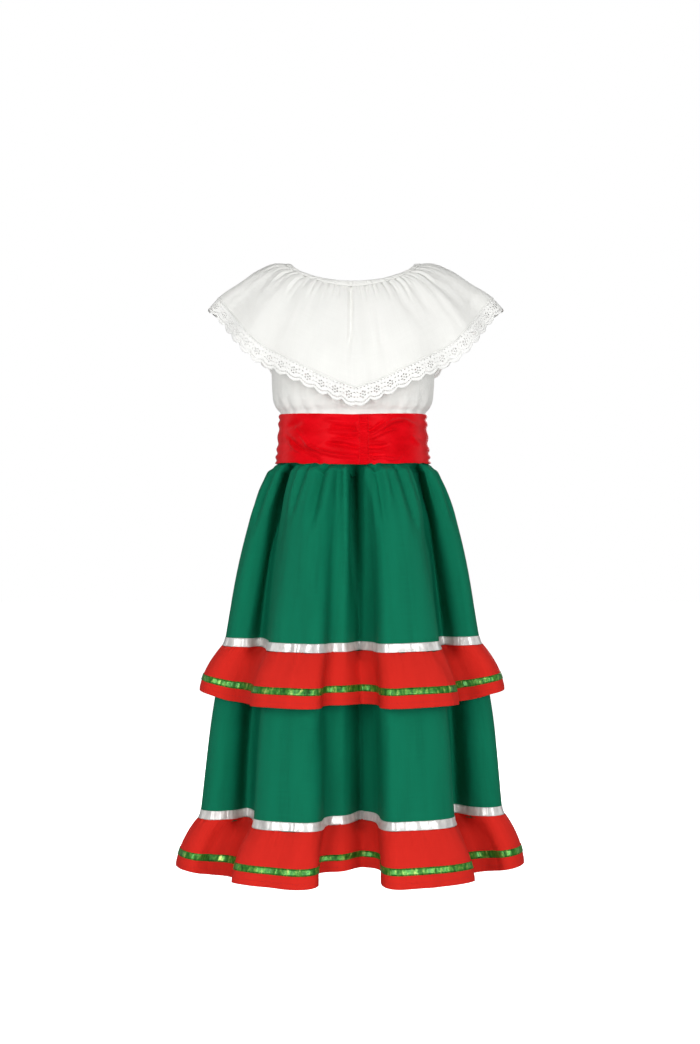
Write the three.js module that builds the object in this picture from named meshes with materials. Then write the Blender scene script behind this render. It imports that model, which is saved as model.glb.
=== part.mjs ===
// A child's folk dress costume, as worn with nobody in it: a white bodice with a wide gathered collar edged
// with scalloped lace, a red satin sash, and a green gathered skirt with two red flounces and four ribbons.
// Millimetres, +Z up. The front faces -Y. The origin is the middle of the neck opening, at shoulder height.
import * as THREE from "three";

// Cloth thicknesses and the gap left at a seam.
const CLOTH = 1.5;
const COLLAR_CLOTH = 1.4;
const LACE = 1.2;
const RIBBON = 1.0;
const ELASTIC_CASING = 2.4;
const SASH_CLOTH = 1.6;
const SEAM = 0.3;
const SIDE_SEAM_DEGREES = 0.1; // each panel stops this far short of the side seam

// How many steps each piece has all round.
const SKIRT_STEPS = 84;
const COLLAR_STEPS = 128;
const LACE_STEPS = 168;
const SASH_STEPS = 60;
const NECKBAND_STEPS = 64;
const BODICE_STEPS = 14;

// Heights of the seams.
const WAIST_SEAM = -222;
const UPPER_RIBBON = -478.5; // the middle of each white ribbon
const LOWER_RIBBON = -694.5;
const WHITE_RIBBON_WIDTH = 10;
const SKIRT_LEAN = 0.013; // the skirt hangs lower on the wearer's left, in mm for each mm sideways
const SKIRT_SAG = 4; // and lower at the back and front than at the sides
const HANG_STARTS = -260; // the height where both begin
const LEAN_FULL = -700; // the heights where each is full
const SAG_FULL = -480;

// How many gathers, waves and scallops there are all round.
const SKIRT_GATHERS = 21;
const COLLAR_GATHERS = 32; // at the neck
const COLLAR_GATHER = 1.5; // how far each stands out, and the same for the waves at the hem
const COLLAR_WAVES = 14;
const COLLAR_WAVE = 3.6;
const SCALLOPS = 56;
const SCALLOP_DEPTH = 0.028; // as a share of the collar's fall
const LACE_STARTS = 0.845; // the same way
const COLLAR_SEAM = 0.002; // the gap along the collar's fall at each of its seams

// Lines down the skirt, from the centre back towards the wearer's left, in degrees. A line with a positive
// reach is the crest of a fold, and its reach is how far it stands out at the hem. One with a negative reach
// is a valley, its curl is how far the folds beside it close over it, and its lift is how far it raises a
// flounce's hem. The lower early is, the higher on the skirt the line starts.
const FOLDS = [
  { at: -6, reach: -62, early: 0.75, curl: 1.5, lift: 25 },
  { at: 6, reach: -36, early: 0.9, curl: 1.5, lift: 25 },
  { at: 19, reach: 52, early: 1, curl: 0, lift: 0 },
  { at: 30, reach: 46, early: 1, curl: 0, lift: 0 },
  { at: 57, reach: -24, early: 0.3, curl: 0.85, lift: 2 },
  { at: 86, reach: 28, early: 1, curl: 0, lift: 0 },
  { at: 111, reach: -28, early: 0.8, curl: 1, lift: 7 },
  { at: 135, reach: 36, early: 1, curl: 0, lift: 0 },
  { at: 158, reach: -38, early: 0.8, curl: 1.2, lift: 12 },
  { at: 182, reach: 40, early: 1, curl: 0, lift: 0 },
  { at: 205, reach: -32, early: 0.8, curl: 1.1, lift: 10 },
  { at: 228, reach: 36, early: 1, curl: 0, lift: 0 },
  { at: 251, reach: -26, early: 0.8, curl: 1, lift: 6 },
  { at: 275, reach: 23, early: 1, curl: 0, lift: 0 },
  { at: 302, reach: -36, early: 0.42, curl: 1, lift: 2 },
  { at: 330, reach: 56, early: 1, curl: 0, lift: 0 },
  { at: 344, reach: 52, early: 1, curl: 0, lift: 0 },
];

// Sections of each tube. fold is the share of each fold's reach, round is how far its crests and valleys
// swell sideways, and gather is how far the small gathers stand out.
const SKIRT_SECTIONS = [
  { z: -222.6, halfWidth: 89.8, halfDepth: 65.8, fold: 0, round: 0, gather: 0.7 },
  { z: -259, halfWidth: 94.8, halfDepth: 70.3, fold: 0.002, round: 0, gather: 0.4 },
  { z: -266, halfWidth: 105.5, halfDepth: 79, fold: 0.03, round: 0, gather: 2 },
  { z: -276, halfWidth: 110, halfDepth: 82.8, fold: 0.06, round: 0, gather: 2.8 },
  { z: -290, halfWidth: 115.5, halfDepth: 87, fold: 0.1, round: 0.03, gather: 3.2 },
  { z: -325, halfWidth: 126, halfDepth: 93, fold: 0.16, round: 0.12, gather: 2.6 },
  { z: -395, halfWidth: 141, halfDepth: 97, fold: 0.25, round: 0.2, gather: 1.2 },
  { z: -478, halfWidth: 153, halfDepth: 95, fold: 0.34, round: 0.28, gather: 0.5 },
  { z: -590, halfWidth: 167, halfDepth: 89, fold: 0.52, round: 0.34, gather: 0.3 },
  { z: -702, halfWidth: 174.5, halfDepth: 82, fold: 0.72, round: 0.38, gather: 0.2 },
];
const SKIRT_LEVELS = [
  -222.6, -259, -266, -276, -292, -332, -400, UPPER_RIBBON + WHITE_RIBBON_WIDTH / 2,
  UPPER_RIBBON - WHITE_RIBBON_WIDTH / 2, -590, LOWER_RIBBON + WHITE_RIBBON_WIDTH / 2,
  LOWER_RIBBON - WHITE_RIBBON_WIDTH / 2,
];

// Each flounce hangs from a seam under a white ribbon and has a depth as cut. wider and deeper are what its
// hem adds to the skirt's section there, and side is how far its hem stands towards the wearer's left. As
// shares of the depth, it is shorter at the side seams and longer in the valleys beside them.
const FLOUNCES = {
  upper: { seam: UPPER_RIBBON, depth: 71.5, wider: 27, deeper: 25, side: 0, shorter: 0.13, longer: 0.03 },
  lower: { seam: LOWER_RIBBON, depth: 69.4, wider: 28, deeper: 26, side: 1.5, shorter: 0.06, longer: 0.12 },
};
const FLOUNCE_HEMS = {
  upper: { fold: 0.42, round: 0.36, gather: 1.6 },
  lower: { fold: 0.64, round: 0.6, gather: 1.4 },
};
const FLOUNCE_BELOW_RIBBON = 0.9;
const FLOUNCE_FLARE = 1.6; // how soon a flounce stands out below its seam
const FLOUNCE_FALL = 1.1; // how late it falls
const GREEN_RIBBON = { top: 0.66, bottom: 0.78 }; // as shares of a flounce's depth
const FLOUNCE_LEVELS = [0, 0.3, GREEN_RIBBON.top, GREEN_RIBBON.bottom, 1];

const BODICE_SECTIONS = [
  { z: -10, halfWidth: 75, halfDepth: 50.5 },
  { z: -36, halfWidth: 76, halfDepth: 52 },
  { z: -62, halfWidth: 87, halfDepth: 60 },
  { z: -100, halfWidth: 99, halfDepth: 70 },
  { z: -140, halfWidth: 103, halfDepth: 75 },
  { z: -172, halfWidth: 101.5, halfDepth: 74 },
  { z: -184, halfWidth: 97.5, halfDepth: 71.2 },
  { z: -191, halfWidth: 91.6, halfDepth: 67 },
  { z: -222, halfWidth: 89.8, halfDepth: 65.8 },
];
// The bodice's panels: how far each reaches to the side, in degrees, from its top edge to the waist seam.
const ARMHOLE = [
  { down: 0, reach: 52 },
  { down: 0.14, reach: 47 },
  { down: 0.28, reach: 48 },
  { down: 0.38, reach: 55 },
  { down: 0.46, reach: 68 },
  { down: 0.52, reach: 81 },
  { down: 0.56, reach: 90 },
  { down: 0.7, reach: 90 },
  { down: 0.81, reach: 90 },
  { down: 0.86, reach: 90 },
  { down: 1, reach: 90 },
];
const BODICE_YOKE = 0.14; // how far down the bodice takes its shape from the neckline

const SASH_SECTIONS = [
  { z: -193, halfWidth: 93.4, halfDepth: 68.9 },
  { z: -208, halfWidth: 94.2, halfDepth: 69.8 },
  { z: -225, halfWidth: 95.2, halfDepth: 70.9 },
  { z: -240, halfWidth: 96.6, halfDepth: 72.2 },
  { z: -255, halfWidth: 98.4, halfDepth: 74 },
];
const SASH_LEVELS = [-193, -205, -216, -228, -241, -255];
const SASH_DIP = 3; // lower at the centre back and front than at the sides
const SASH_RUCHES = 3; // round the side seams
const SASH_RUCHE = 0.8;

// The neck opening, and the outer edge of the collar over the shoulders.
const NECK = { halfWidth: 77, halfDepth: 52, shoulder: -3, back: -29, front: -37 };
const COLLAR_HEM = { halfWidth: 188, halfDepth: 95, shoulder: -62, side: -3.5 };
const COLLAR_POINTS = { back: { z: -191, shoulderArc: 50 }, front: { z: -197, shoulderArc: 66 } };
const CASING_ENDS = 0.065; // the neckband's depth, as a share of the collar's fall
// How far out and down the collar is, along its fall, over a shoulder and down the back.
const COLLAR_PROFILE = [
  { along: 0, shoulderOut: 0, shoulderDrop: 0, backOut: 0, backDrop: 0 },
  { along: 0.15, shoulderOut: 0.18, shoulderDrop: -0.04, backOut: 0.22, backDrop: 0.11 },
  { along: 0.35, shoulderOut: 0.4, shoulderDrop: 0.1, backOut: 0.5, backDrop: 0.31 },
  { along: 0.6, shoulderOut: 0.64, shoulderDrop: 0.4, backOut: 0.76, backDrop: 0.58 },
  { along: 0.8, shoulderOut: 0.84, shoulderDrop: 0.66, backOut: 0.9, backDrop: 0.79 },
  { along: 1, shoulderOut: 1, shoulderDrop: 1, backOut: 1, backDrop: 1 },
];
const COLLAR_LEVELS = [CASING_ENDS + COLLAR_SEAM, 0.19, 0.36, 0.6, LACE_STARTS - COLLAR_SEAM];

const WHITE = { color: 0xf1f1ec, roughness: 0.85 };
const SATIN_RED = { color: 0xdc1020, roughness: 0.38 };
const SKIRT_GREEN = { color: 0x13704f, roughness: 0.7 };
const FLOUNCE_RED = { color: 0xd6302a, roughness: 0.75 };
const RIBBON_WHITE = { color: 0xdcdad8, roughness: 0.35 };
const RIBBON_GREEN = { color: 0x2c8a2c, roughness: 0.35 };

const radians = THREE.MathUtils.degToRad;
const steps = (first, last, count) =>
  Array.from({ length: count + 1 }, (_, i) => first + ((last - first) * i) / count);
const mix = (a, b, share) => a + (b - a) * share;

// The row of a table at a value of its key column, eased through the rows by a monotone cubic.
function rowAt(rows, key, value) {
  const rising = rows[rows.length - 1][key] > rows[0][key];
  const at = (i) => (rising ? rows[i][key] : -rows[i][key]);
  const x = THREE.MathUtils.clamp(rising ? value : -value, at(0), at(rows.length - 1));
  let i = 0;
  while (i < rows.length - 2 && x > at(i + 1)) i++;
  const width = at(i + 1) - at(i);
  const share = (x - at(i)) / width;
  const slope = (j, column) => (rows[j + 1][column] - rows[j][column]) / (at(j + 1) - at(j));
  const tangent = (j, column) => {
    if (j === 0 || j === rows.length - 1) return slope(Math.min(j, rows.length - 2), column);
    const [a, b] = [slope(j - 1, column), slope(j, column)];
    return a * b <= 0 ? 0 : (2 * a * b) / (a + b);
  };
  const made = {};
  for (const column of Object.keys(rows[0])) {
    const [a, b] = [rows[i][column], rows[i + 1][column]];
    const [p, q] = [tangent(i, column) * width, tangent(i + 1, column) * width];
    const s2 = share * share;
    const s3 = s2 * share;
    made[column] =
      a * (2 * s3 - 3 * s2 + 1) + p * (s3 - 2 * s2 + share) + b * (3 * s2 - 2 * s3) + q * (s3 - s2);
  }
  return made;
}

// The outward normal of a surface, whose first value runs round the body and whose second one runs down.
function normalOf(surface, u, v, du, dv) {
  const along = surface(u + du, v).sub(surface(u - du, v));
  const down = surface(u, v + dv).sub(surface(u, v - dv));
  return along.cross(down).normalize();
}

// A point of an ellipse at an angle from the centre back, with its outward normal and its tangent.
function onEllipse(degrees, halfWidth, halfDepth) {
  const [s, c] = [Math.sin(radians(degrees)), Math.cos(radians(degrees))];
  const tangent = new THREE.Vector3(c * halfWidth, -s * halfDepth, 0);
  const speed = tangent.length();
  tangent.divideScalar(speed);
  return {
    point: new THREE.Vector3(s * halfWidth, c * halfDepth, 0),
    normal: new THREE.Vector3(-tangent.y, tangent.x, 0),
    tangent,
    speed,
  };
}

// Where the folds put the cloth at an angle: outward, and sideways along the section.
function foldAt(degrees, fold, round, speed) {
  const turn = ((((degrees - FOLDS[0].at) % 360) + 360) % 360) + FOLDS[0].at;
  let i = FOLDS.length - 1;
  while (FOLDS[i].at > turn) i--;
  const [from, to] = [FOLDS[i], FOLDS[(i + 1) % FOLDS.length]];
  const span = (to.at - from.at + 360) % 360;
  const share = (turn - from.at) / span;
  const reach = (line) => line.reach * fold ** line.early;
  const ease = (1 - Math.cos(Math.PI * share)) / 2;
  const curl = from.reach * to.reach < 0 ? from.curl + to.curl : 0;
  const across = (round * curl * speed * radians(span)) / Math.PI;
  return {
    out: mix(reach(from), reach(to), ease),
    lift: mix(from.lift, to.lift, ease) * fold ** 2,
    sideways: across * Math.sin(2 * Math.PI * share),
  };
}

// A section of the skirt or of a flounce, at height 0.
function foldedSection(degrees, section) {
  const { point, normal, tangent, speed } = onEllipse(degrees, section.halfWidth, section.halfDepth);
  const { out, sideways } = foldAt(degrees, section.fold, section.round, speed);
  const uneven = 1 + 0.25 * Math.sin(radians(3 * degrees + 40));
  const gathered = section.gather * uneven * Math.cos(radians(SKIRT_GATHERS * degrees));
  return point.addScaledVector(normal, out + gathered).addScaledVector(tangent, sideways);
}

function hang(degrees, x, z) {
  const lean = SKIRT_LEAN * x * THREE.MathUtils.smoothstep(-z, -HANG_STARTS, -LEAN_FULL);
  const sag = SKIRT_SAG * Math.cos(radians(degrees)) ** 2;
  return -lean - sag * THREE.MathUtils.smoothstep(-z, -HANG_STARTS, -SAG_FULL);
}

function skirtPoint(degrees, z) {
  const point = foldedSection(degrees, rowAt(SKIRT_SECTIONS, "z", z));
  return point.setZ(z + hang(degrees, point.x, z));
}

// A flounce hangs from its seam with the depth that it was cut to, so what flares out hangs less far down.
function flouncePoint(tier, degrees, down) {
  const [flounce, hem] = [FLOUNCES[tier], FLOUNCE_HEMS[tier]];
  const share = THREE.MathUtils.clamp(down, 0, 1);
  const top = flounce.seam - WHITE_RIBBON_WIDTH / 2 - FLOUNCE_BELOW_RIBBON;
  const head = rowAt(SKIRT_SECTIONS, "z", top);
  const outward = normalOf(skirtPoint, degrees, top, 0.25, -1);
  const pointAt = (amount) => {
    const section = {
      halfWidth: head.halfWidth + flounce.wider * amount,
      halfDepth: head.halfDepth + flounce.deeper * amount,
      fold: mix(head.fold, hem.fold, amount),
      round: mix(head.round, hem.round, amount),
      gather: mix(head.gather, hem.gather, amount),
    };
    const point = foldedSection(degrees, section).addScaledVector(outward, CLOTH + SEAM);
    return point.setX(point.x + flounce.side * amount);
  };
  const start = pointAt(0);
  const travel = start.distanceTo(pointAt(1));
  const side = Math.abs(Math.sin(radians(degrees)));
  const besideSeam = side * Math.cos(radians(3 * degrees)) ** 2;
  const cut = flounce.depth * (1 - flounce.shorter * side ** 16 + flounce.longer * besideSeam);
  const fall = Math.sqrt(cut ** 2 - travel ** 2) * share ** FLOUNCE_FALL;
  const z = top - fall + share * foldAt(degrees, hem.fold, 0, 0).lift + hang(degrees, start.x, top);
  return pointAt(1 - (1 - share) ** FLOUNCE_FLARE).setZ(z);
}

const wrapped = (degrees) => ((((degrees + 180) % 360) + 360) % 360) - 180;
const nearestCentre = (degrees) => {
  const turn = Math.abs(wrapped(degrees));
  return turn <= 90 ? turn : 180 - turn;
};
const isBack = (degrees) => Math.cos(radians(degrees)) >= 0;

function necklineHeight(degrees) {
  const c = Math.abs(Math.cos(radians(degrees)));
  return mix(NECK.shoulder, isBack(degrees) ? NECK.back : NECK.front, c ** 1.3);
}

// The collar without its gathers: along is 0 at the neck edge and 1 at the lace's outer edge.
function collarBase(degrees, along) {
  const neck = onEllipse(degrees, NECK.halfWidth, NECK.halfDepth).point;
  const hem = onEllipse(degrees, COLLAR_HEM.halfWidth, COLLAR_HEM.halfDepth).point;
  const shoulder = Math.sin(radians(degrees)) ** 2;
  hem.x += COLLAR_HEM.side;
  const row = rowAt(COLLAR_PROFILE, "along", along);
  const out = mix(row.backOut, row.shoulderOut, shoulder);
  const drop = mix(row.backDrop, row.shoulderDrop, shoulder);
  const neckHeight = necklineHeight(degrees);
  const centre = isBack(degrees) ? COLLAR_POINTS.back : COLLAR_POINTS.front;
  const fromCentre = nearestCentre(degrees);
  const overShoulder = THREE.MathUtils.smoothstep(90 - fromCentre, 0, centre.shoulderArc);
  const toCentre = (1 - fromCentre / 90) * overShoulder;
  const hemHeight = mix(COLLAR_HEM.shoulder, centre.z, toCentre);
  return neck.lerp(hem, out).setZ(mix(neckHeight, hemHeight, drop));
}

function collarPoint(degrees, fall) {
  const along = THREE.MathUtils.clamp(fall, 0, 1);
  const gathers = COLLAR_GATHER * (1 - along) ** 1.5 * Math.cos(radians(COLLAR_GATHERS * degrees));
  const uneven = 20 * Math.sin(radians(2 * degrees));
  const waves = COLLAR_WAVE * along ** 1.6 * Math.cos(radians(COLLAR_WAVES * degrees + uneven));
  const normal = normalOf(collarBase, degrees, along, 0.5, 0.01);
  return collarBase(degrees, along).addScaledVector(normal, gathers + waves);
}

// How far along a quarter of the collar's hem each degree from a centre line is, as a share.
function quarterShares(centre) {
  const lengths = [0];
  for (let degrees = 1; degrees <= 90; degrees++) {
    const [from, to] = [collarBase(centre + degrees - 1, 1), collarBase(centre + degrees, 1)];
    lengths.push(lengths[degrees - 1] + from.distanceTo(to));
  }
  return lengths.map((length) => length / lengths[90]);
}
const HEM_SHARES = { back: quarterShares(0), front: quarterShares(180) };

// An even angle grows evenly with the length of the hem. This gives the true angle there.
function alongHem(even) {
  const [centre, shares] = isBack(even) ? [0, HEM_SHARES.back] : [180, HEM_SHARES.front];
  const turn = wrapped(even - centre);
  const share = Math.abs(turn) / 90;
  let i = 0;
  while (i < 89 && shares[i + 1] < share) i++;
  return centre + Math.sign(turn) * (i + (share - shares[i]) / (shares[i + 1] - shares[i]));
}

// The lace follows the collar, and its outer edge is cut in even scallops.
function lacePoint(even, share) {
  const scallop = 1 - Math.abs(Math.sin(radians((SCALLOPS * even) / 2)));
  return collarPoint(alongHem(even), mix(LACE_STARTS, 1 - SCALLOP_DEPTH * scallop, share));
}

// The bodice's top edge is sewn to the inside of the elastic casing.
function bodicePoint(degrees, down) {
  const inward = -(ELASTIC_CASING + CLOTH) / 2 - SEAM;
  const normal = normalOf(collarBase, degrees, CASING_ENDS / 2, 0.5, 0.01);
  const seam = collarBase(degrees, CASING_ENDS / 2).addScaledVector(normal, inward);
  const z = mix(seam.z, WAIST_SEAM, down);
  const section = rowAt(BODICE_SECTIONS, "z", z);
  const toSeam = (1 - Math.min(Math.max(down, 0) / BODICE_YOKE, 1)) ** 2;
  return onEllipse(degrees, section.halfWidth, section.halfDepth).point.lerp(seam, toSeam).setZ(z);
}

// The sash has a few small ruches where its side seams gather it, and dips at the centre back and front.
function sashPoint(degrees, z) {
  const section = rowAt(SASH_SECTIONS, "z", z);
  const { point, normal } = onEllipse(degrees, section.halfWidth, section.halfDepth);
  const side = Math.abs(Math.sin(radians(degrees)));
  const down = (z - SASH_SECTIONS[0].z) / (WAIST_SEAM - SASH_SECTIONS[0].z);
  const ruche = SASH_RUCHE * side ** 24 * (1 + Math.cos(Math.PI * SASH_RUCHES * down));
  return point.addScaledVector(normal, ruche).setZ(z - SASH_DIP * (1 - side));
}

// A wall of cloth on a surface, as one closed solid. us runs round the body, from the centre back towards
// the wearer's left, and vs runs down. offset moves the wall out from the surface. A closed wall joins up
// with its start.
function wall(surface, us, vs, thickness, { offset = 0, closed = false } = {}) {
  const columns = closed ? us.length - 1 : us.length;
  const positions = [];
  for (const side of [1, -1])
    for (let i = 0; i < columns; i++)
      for (const v of vs) {
        const u = us[i];
        const normal = normalOf(surface, u, v, 0.25, (vs[vs.length - 1] - vs[0]) * 1e-3);
        const moved = surface(u, v).addScaledVector(normal, offset + (side * thickness) / 2);
        positions.push(moved.x, moved.y, moved.z);
      }
  const outer = (i, j) => (i % columns) * vs.length + j;
  const inner = (i, j) => columns * vs.length + outer(i, j);
  const faces = [];
  const quad = (a, b, c, d) => faces.push(a, b, c, a, c, d);
  const last = closed ? columns : columns - 1;
  for (let i = 0; i < last; i++) {
    for (let j = 0; j < vs.length - 1; j++) {
      quad(outer(i, j), outer(i + 1, j), outer(i + 1, j + 1), outer(i, j + 1));
      quad(inner(i, j), inner(i, j + 1), inner(i + 1, j + 1), inner(i + 1, j));
    }
    const foot = vs.length - 1;
    quad(outer(i, 0), inner(i, 0), inner(i + 1, 0), outer(i + 1, 0));
    quad(outer(i, foot), outer(i + 1, foot), inner(i + 1, foot), inner(i, foot));
  }
  if (!closed)
    for (let j = 0; j < vs.length - 1; j++) {
      quad(outer(0, j), outer(0, j + 1), inner(0, j + 1), inner(0, j));
      quad(outer(last, j), inner(last, j), inner(last, j + 1), outer(last, j + 1));
    }
  const geometry = new THREE.BufferGeometry();
  geometry.setAttribute("position", new THREE.Float32BufferAttribute(positions, 3));
  geometry.setIndex(faces);
  geometry.computeVertexNormals();
  return geometry;
}

const costume = new THREE.Group();

function add(name, geometry, finish) {
  const mesh = new THREE.Mesh(geometry, new THREE.MeshStandardMaterial({ ...finish, metalness: 0 }));
  mesh.name = name;
  costume.add(mesh);
}

// The angles of a back or front panel, which stops short of each side seam.
function panel(centre, count) {
  const angles = steps(centre - 90, centre + 90, count / 2);
  angles[0] += SIDE_SEAM_DEGREES;
  angles[angles.length - 1] -= SIDE_SEAM_DEGREES;
  return angles;
}
const PANELS = { back: 0, front: 180 };
const allRound = (count) => steps(-90, 270, count);

function addSkirt() {
  for (const [side, centre] of Object.entries(PANELS))
    add(`skirt_${side}`, wall(skirtPoint, panel(centre, SKIRT_STEPS), SKIRT_LEVELS, CLOTH), SKIRT_GREEN);
}

function addFlounces() {
  for (const tier of Object.keys(FLOUNCES)) {
    const surface = (degrees, down) => flouncePoint(tier, degrees, down);
    for (const [side, centre] of Object.entries(PANELS)) {
      const geometry = wall(surface, panel(centre, SKIRT_STEPS), FLOUNCE_LEVELS, CLOTH);
      add(`flounce_${tier}_${side}`, geometry, FLOUNCE_RED);
    }
  }
}

function addRibbons() {
  const round = allRound(SKIRT_STEPS);
  const raised = { offset: (CLOTH + RIBBON) / 2 + SEAM, closed: true };
  for (const [tier, flounce] of Object.entries(FLOUNCES)) {
    const edges = [flounce.seam + WHITE_RIBBON_WIDTH / 2, flounce.seam - WHITE_RIBBON_WIDTH / 2];
    add(`ribbon_white_${tier}`, wall(skirtPoint, round, edges, RIBBON, raised), RIBBON_WHITE);
    const surface = (degrees, down) => flouncePoint(tier, degrees, down);
    const band = [GREEN_RIBBON.top, GREEN_RIBBON.bottom];
    add(`ribbon_green_${tier}`, wall(surface, round, band, RIBBON, raised), RIBBON_GREEN);
  }
}

function addCollar() {
  const round = allRound(NECKBAND_STEPS);
  const casing = wall(collarBase, round, [0, CASING_ENDS], ELASTIC_CASING, { closed: true });
  add("neckband", casing, WHITE);
  for (const [side, centre] of Object.entries(PANELS)) {
    add(`collar_${side}`, wall(collarPoint, panel(centre, COLLAR_STEPS), COLLAR_LEVELS, COLLAR_CLOTH), WHITE);
    add(`lace_${side}`, wall(lacePoint, panel(centre, LACE_STEPS), [0, 1], LACE), WHITE);
  }
}

function addBodice() {
  for (const [side, centre] of Object.entries(PANELS)) {
    const surface = (across, down) => {
      const reach = rowAt(ARMHOLE, "down", down).reach - SIDE_SEAM_DEGREES;
      return bodicePoint(centre + across * reach, down);
    };
    const levels = ARMHOLE.map((row) => row.down);
    add(`bodice_${side}`, wall(surface, steps(-1, 1, BODICE_STEPS), levels, CLOTH), WHITE);
  }
}

function addSash() {
  for (const [side, centre] of Object.entries(PANELS))
    add(`sash_${side}`, wall(sashPoint, panel(centre, SASH_STEPS), SASH_LEVELS, SASH_CLOTH), SATIN_RED);
}

addBodice();
addCollar();
addSash();
addSkirt();
addFlounces();
addRibbons();

export default costume;
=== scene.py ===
# The looks of a child's folk dress costume, as worn with nobody in it: a white bodice with a wide gathered
# collar and eyelet lace, a red satin sash, and a green gathered skirt with red flounces and ribbons.
# Sizes are in millimetres until a mesh is made. +Z is up and the front faces -Y. Angles run round the body
# in degrees, from the centre back towards the wearer's left.
import math

import bpy
import numpy as np
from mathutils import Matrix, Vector
from mathutils.geometry import delaunay_2d_cdt


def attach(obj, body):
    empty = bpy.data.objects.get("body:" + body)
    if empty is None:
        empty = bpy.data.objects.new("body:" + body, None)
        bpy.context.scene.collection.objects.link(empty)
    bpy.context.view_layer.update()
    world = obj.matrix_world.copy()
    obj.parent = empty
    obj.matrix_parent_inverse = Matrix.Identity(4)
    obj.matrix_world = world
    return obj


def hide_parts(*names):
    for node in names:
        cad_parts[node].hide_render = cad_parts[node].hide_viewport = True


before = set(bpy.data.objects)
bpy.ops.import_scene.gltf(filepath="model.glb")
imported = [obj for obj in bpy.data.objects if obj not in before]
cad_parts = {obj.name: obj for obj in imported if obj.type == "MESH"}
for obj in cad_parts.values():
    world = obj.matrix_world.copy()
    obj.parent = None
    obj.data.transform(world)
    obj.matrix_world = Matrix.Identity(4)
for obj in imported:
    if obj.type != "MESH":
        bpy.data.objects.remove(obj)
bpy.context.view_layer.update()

MM = 0.001
SEAM_DEGREES = 0.1  # each panel stops this far short of the side seam
PANELS = {"back": 0, "front": 180}

# Camera, worked out from the photograph.
EYE = (0.0038, 2.5, -0.329)
SENSOR = 36  # the long side, in mm
LENS = 67.88
FLOOR = -0.917

# Thickness of each cloth, and of the neck's casing.
COTTON = 0.5
SATIN = 0.45
SKIRT_CLOTH = 0.5
RIBBON = 0.3
LACE = 0.55
CASING = 2.2


def smoothstep(value, low, high):
    share = np.clip((value - low) / (high - low), 0, 1)
    return share * share * (3 - 2 * share)


def mix(a, b, share):
    return a + (b - a) * share


def sine(degrees):
    return np.sin(np.radians(degrees))


def cosine(degrees):
    return np.cos(np.radians(degrees))


def wrapped(degrees):
    return (degrees + 180) % 360 - 180


class Table:
    """Rows under named columns. at() eases through them by a monotone cubic, by the first column."""

    def __init__(self, columns, *rows):
        self.names = columns.split()
        data = np.array(rows, float)
        self.data = data if data[0, 0] < data[-1, 0] else data[::-1]
        x = self.data[:, 0]
        slopes = np.diff(self.data, axis=0) / np.diff(x)[:, None]
        a, b = slopes[:-1], slopes[1:]
        same_way = a * b > 0
        middle = np.where(same_way, 2 * a * b / np.where(same_way, a + b, 1), 0)
        self.tangents = np.vstack([slopes[:1], middle, slopes[-1:]])

    def at(self, value):
        x = self.data[:, 0]
        value = np.clip(np.asarray(value, float), x[0], x[-1])
        i = np.clip(np.searchsorted(x, value, side="right") - 1, 0, len(x) - 2)
        width = (x[i + 1] - x[i])[..., None]
        s = ((value - x[i])[..., None]) / width
        made = (
            self.data[i] * (2 * s**3 - 3 * s**2 + 1)
            + self.tangents[i] * width * (s**3 - 2 * s**2 + s)
            + self.data[i + 1] * (3 * s**2 - 2 * s**3)
            + self.tangents[i + 1] * width * (s**3 - s**2)
        )
        return {name: made[..., k] for k, name in enumerate(self.names)}


# The garment's form, as in the CAD part.
WAIST_SEAM = -222
RIBBON_HEIGHTS = {"upper": -478.5, "lower": -694.5}
WHITE_RIBBON_WIDTH = 10
SKIRT_LEAN = 0.013  # the hem's slope from side to side
SKIRT_SAG = 4  # how much lower the centre hangs
HANG_STARTS = -260
LEAN_FULL = -700
SAG_FULL = -480
# Folds as (angle, reach, how early they open, curl, lift of the hem): lobes reach out and valleys in.
FOLDS = np.array(
    [
        (-6, -62, 0.75, 1.5, 25), (6, -36, 0.9, 1.5, 25), (19, 52, 1, 0, 0), (30, 46, 1, 0, 0),
        (57, -24, 0.3, 0.85, 2), (86, 28, 1, 0, 0), (111, -28, 0.8, 1, 7), (135, 36, 1, 0, 0),
        (158, -38, 0.8, 1.2, 12), (182, 40, 1, 0, 0), (205, -32, 0.8, 1.1, 10), (228, 36, 1, 0, 0),
        (251, -26, 0.8, 1, 6), (275, 23, 1, 0, 0), (302, -36, 0.42, 1, 2), (330, 56, 1, 0, 0),
        (344, 52, 1, 0, 0),
    ],
    float,
)
SKIRT = Table(
    "z half_width half_depth fold round",
    (-222.6, 89.8, 65.8, 0, 0), (-259, 94.8, 70.3, 0.002, 0), (-266, 105.5, 79, 0.03, 0),
    (-276, 110, 82.8, 0.06, 0), (-290, 115.5, 87, 0.1, 0.03), (-325, 126, 93, 0.16, 0.12),
    (-395, 141, 97, 0.25, 0.2), (-478, 153, 95, 0.34, 0.28), (-590, 167, 89, 0.52, 0.34),
    (-702, 174.5, 82, 0.72, 0.38),
)
SKIRT_FOOT = -704
FLOUNCES = {
    "upper": {
        "depth": 71.5, "wider": 27, "deeper": 25, "side": 0, "fold": 0.42, "round": 0.36, "shorter": 0.13,
        "longer": 0.03,
    },
    "lower": {
        "depth": 69.4, "wider": 28, "deeper": 26, "side": 1.5, "fold": 0.64, "round": 0.6, "shorter": 0.06,
        "longer": 0.12,
    },
}
FLOUNCE_BELOW_RIBBON = 0.9
FLOUNCE_STANDS_OFF = 1.8
FLOUNCE_FLARE = 1.6
FLOUNCE_FALL = 1.1
GREEN_RIBBON = (0.66, 0.78)  # its edges, as shares of the flounce's depth

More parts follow.
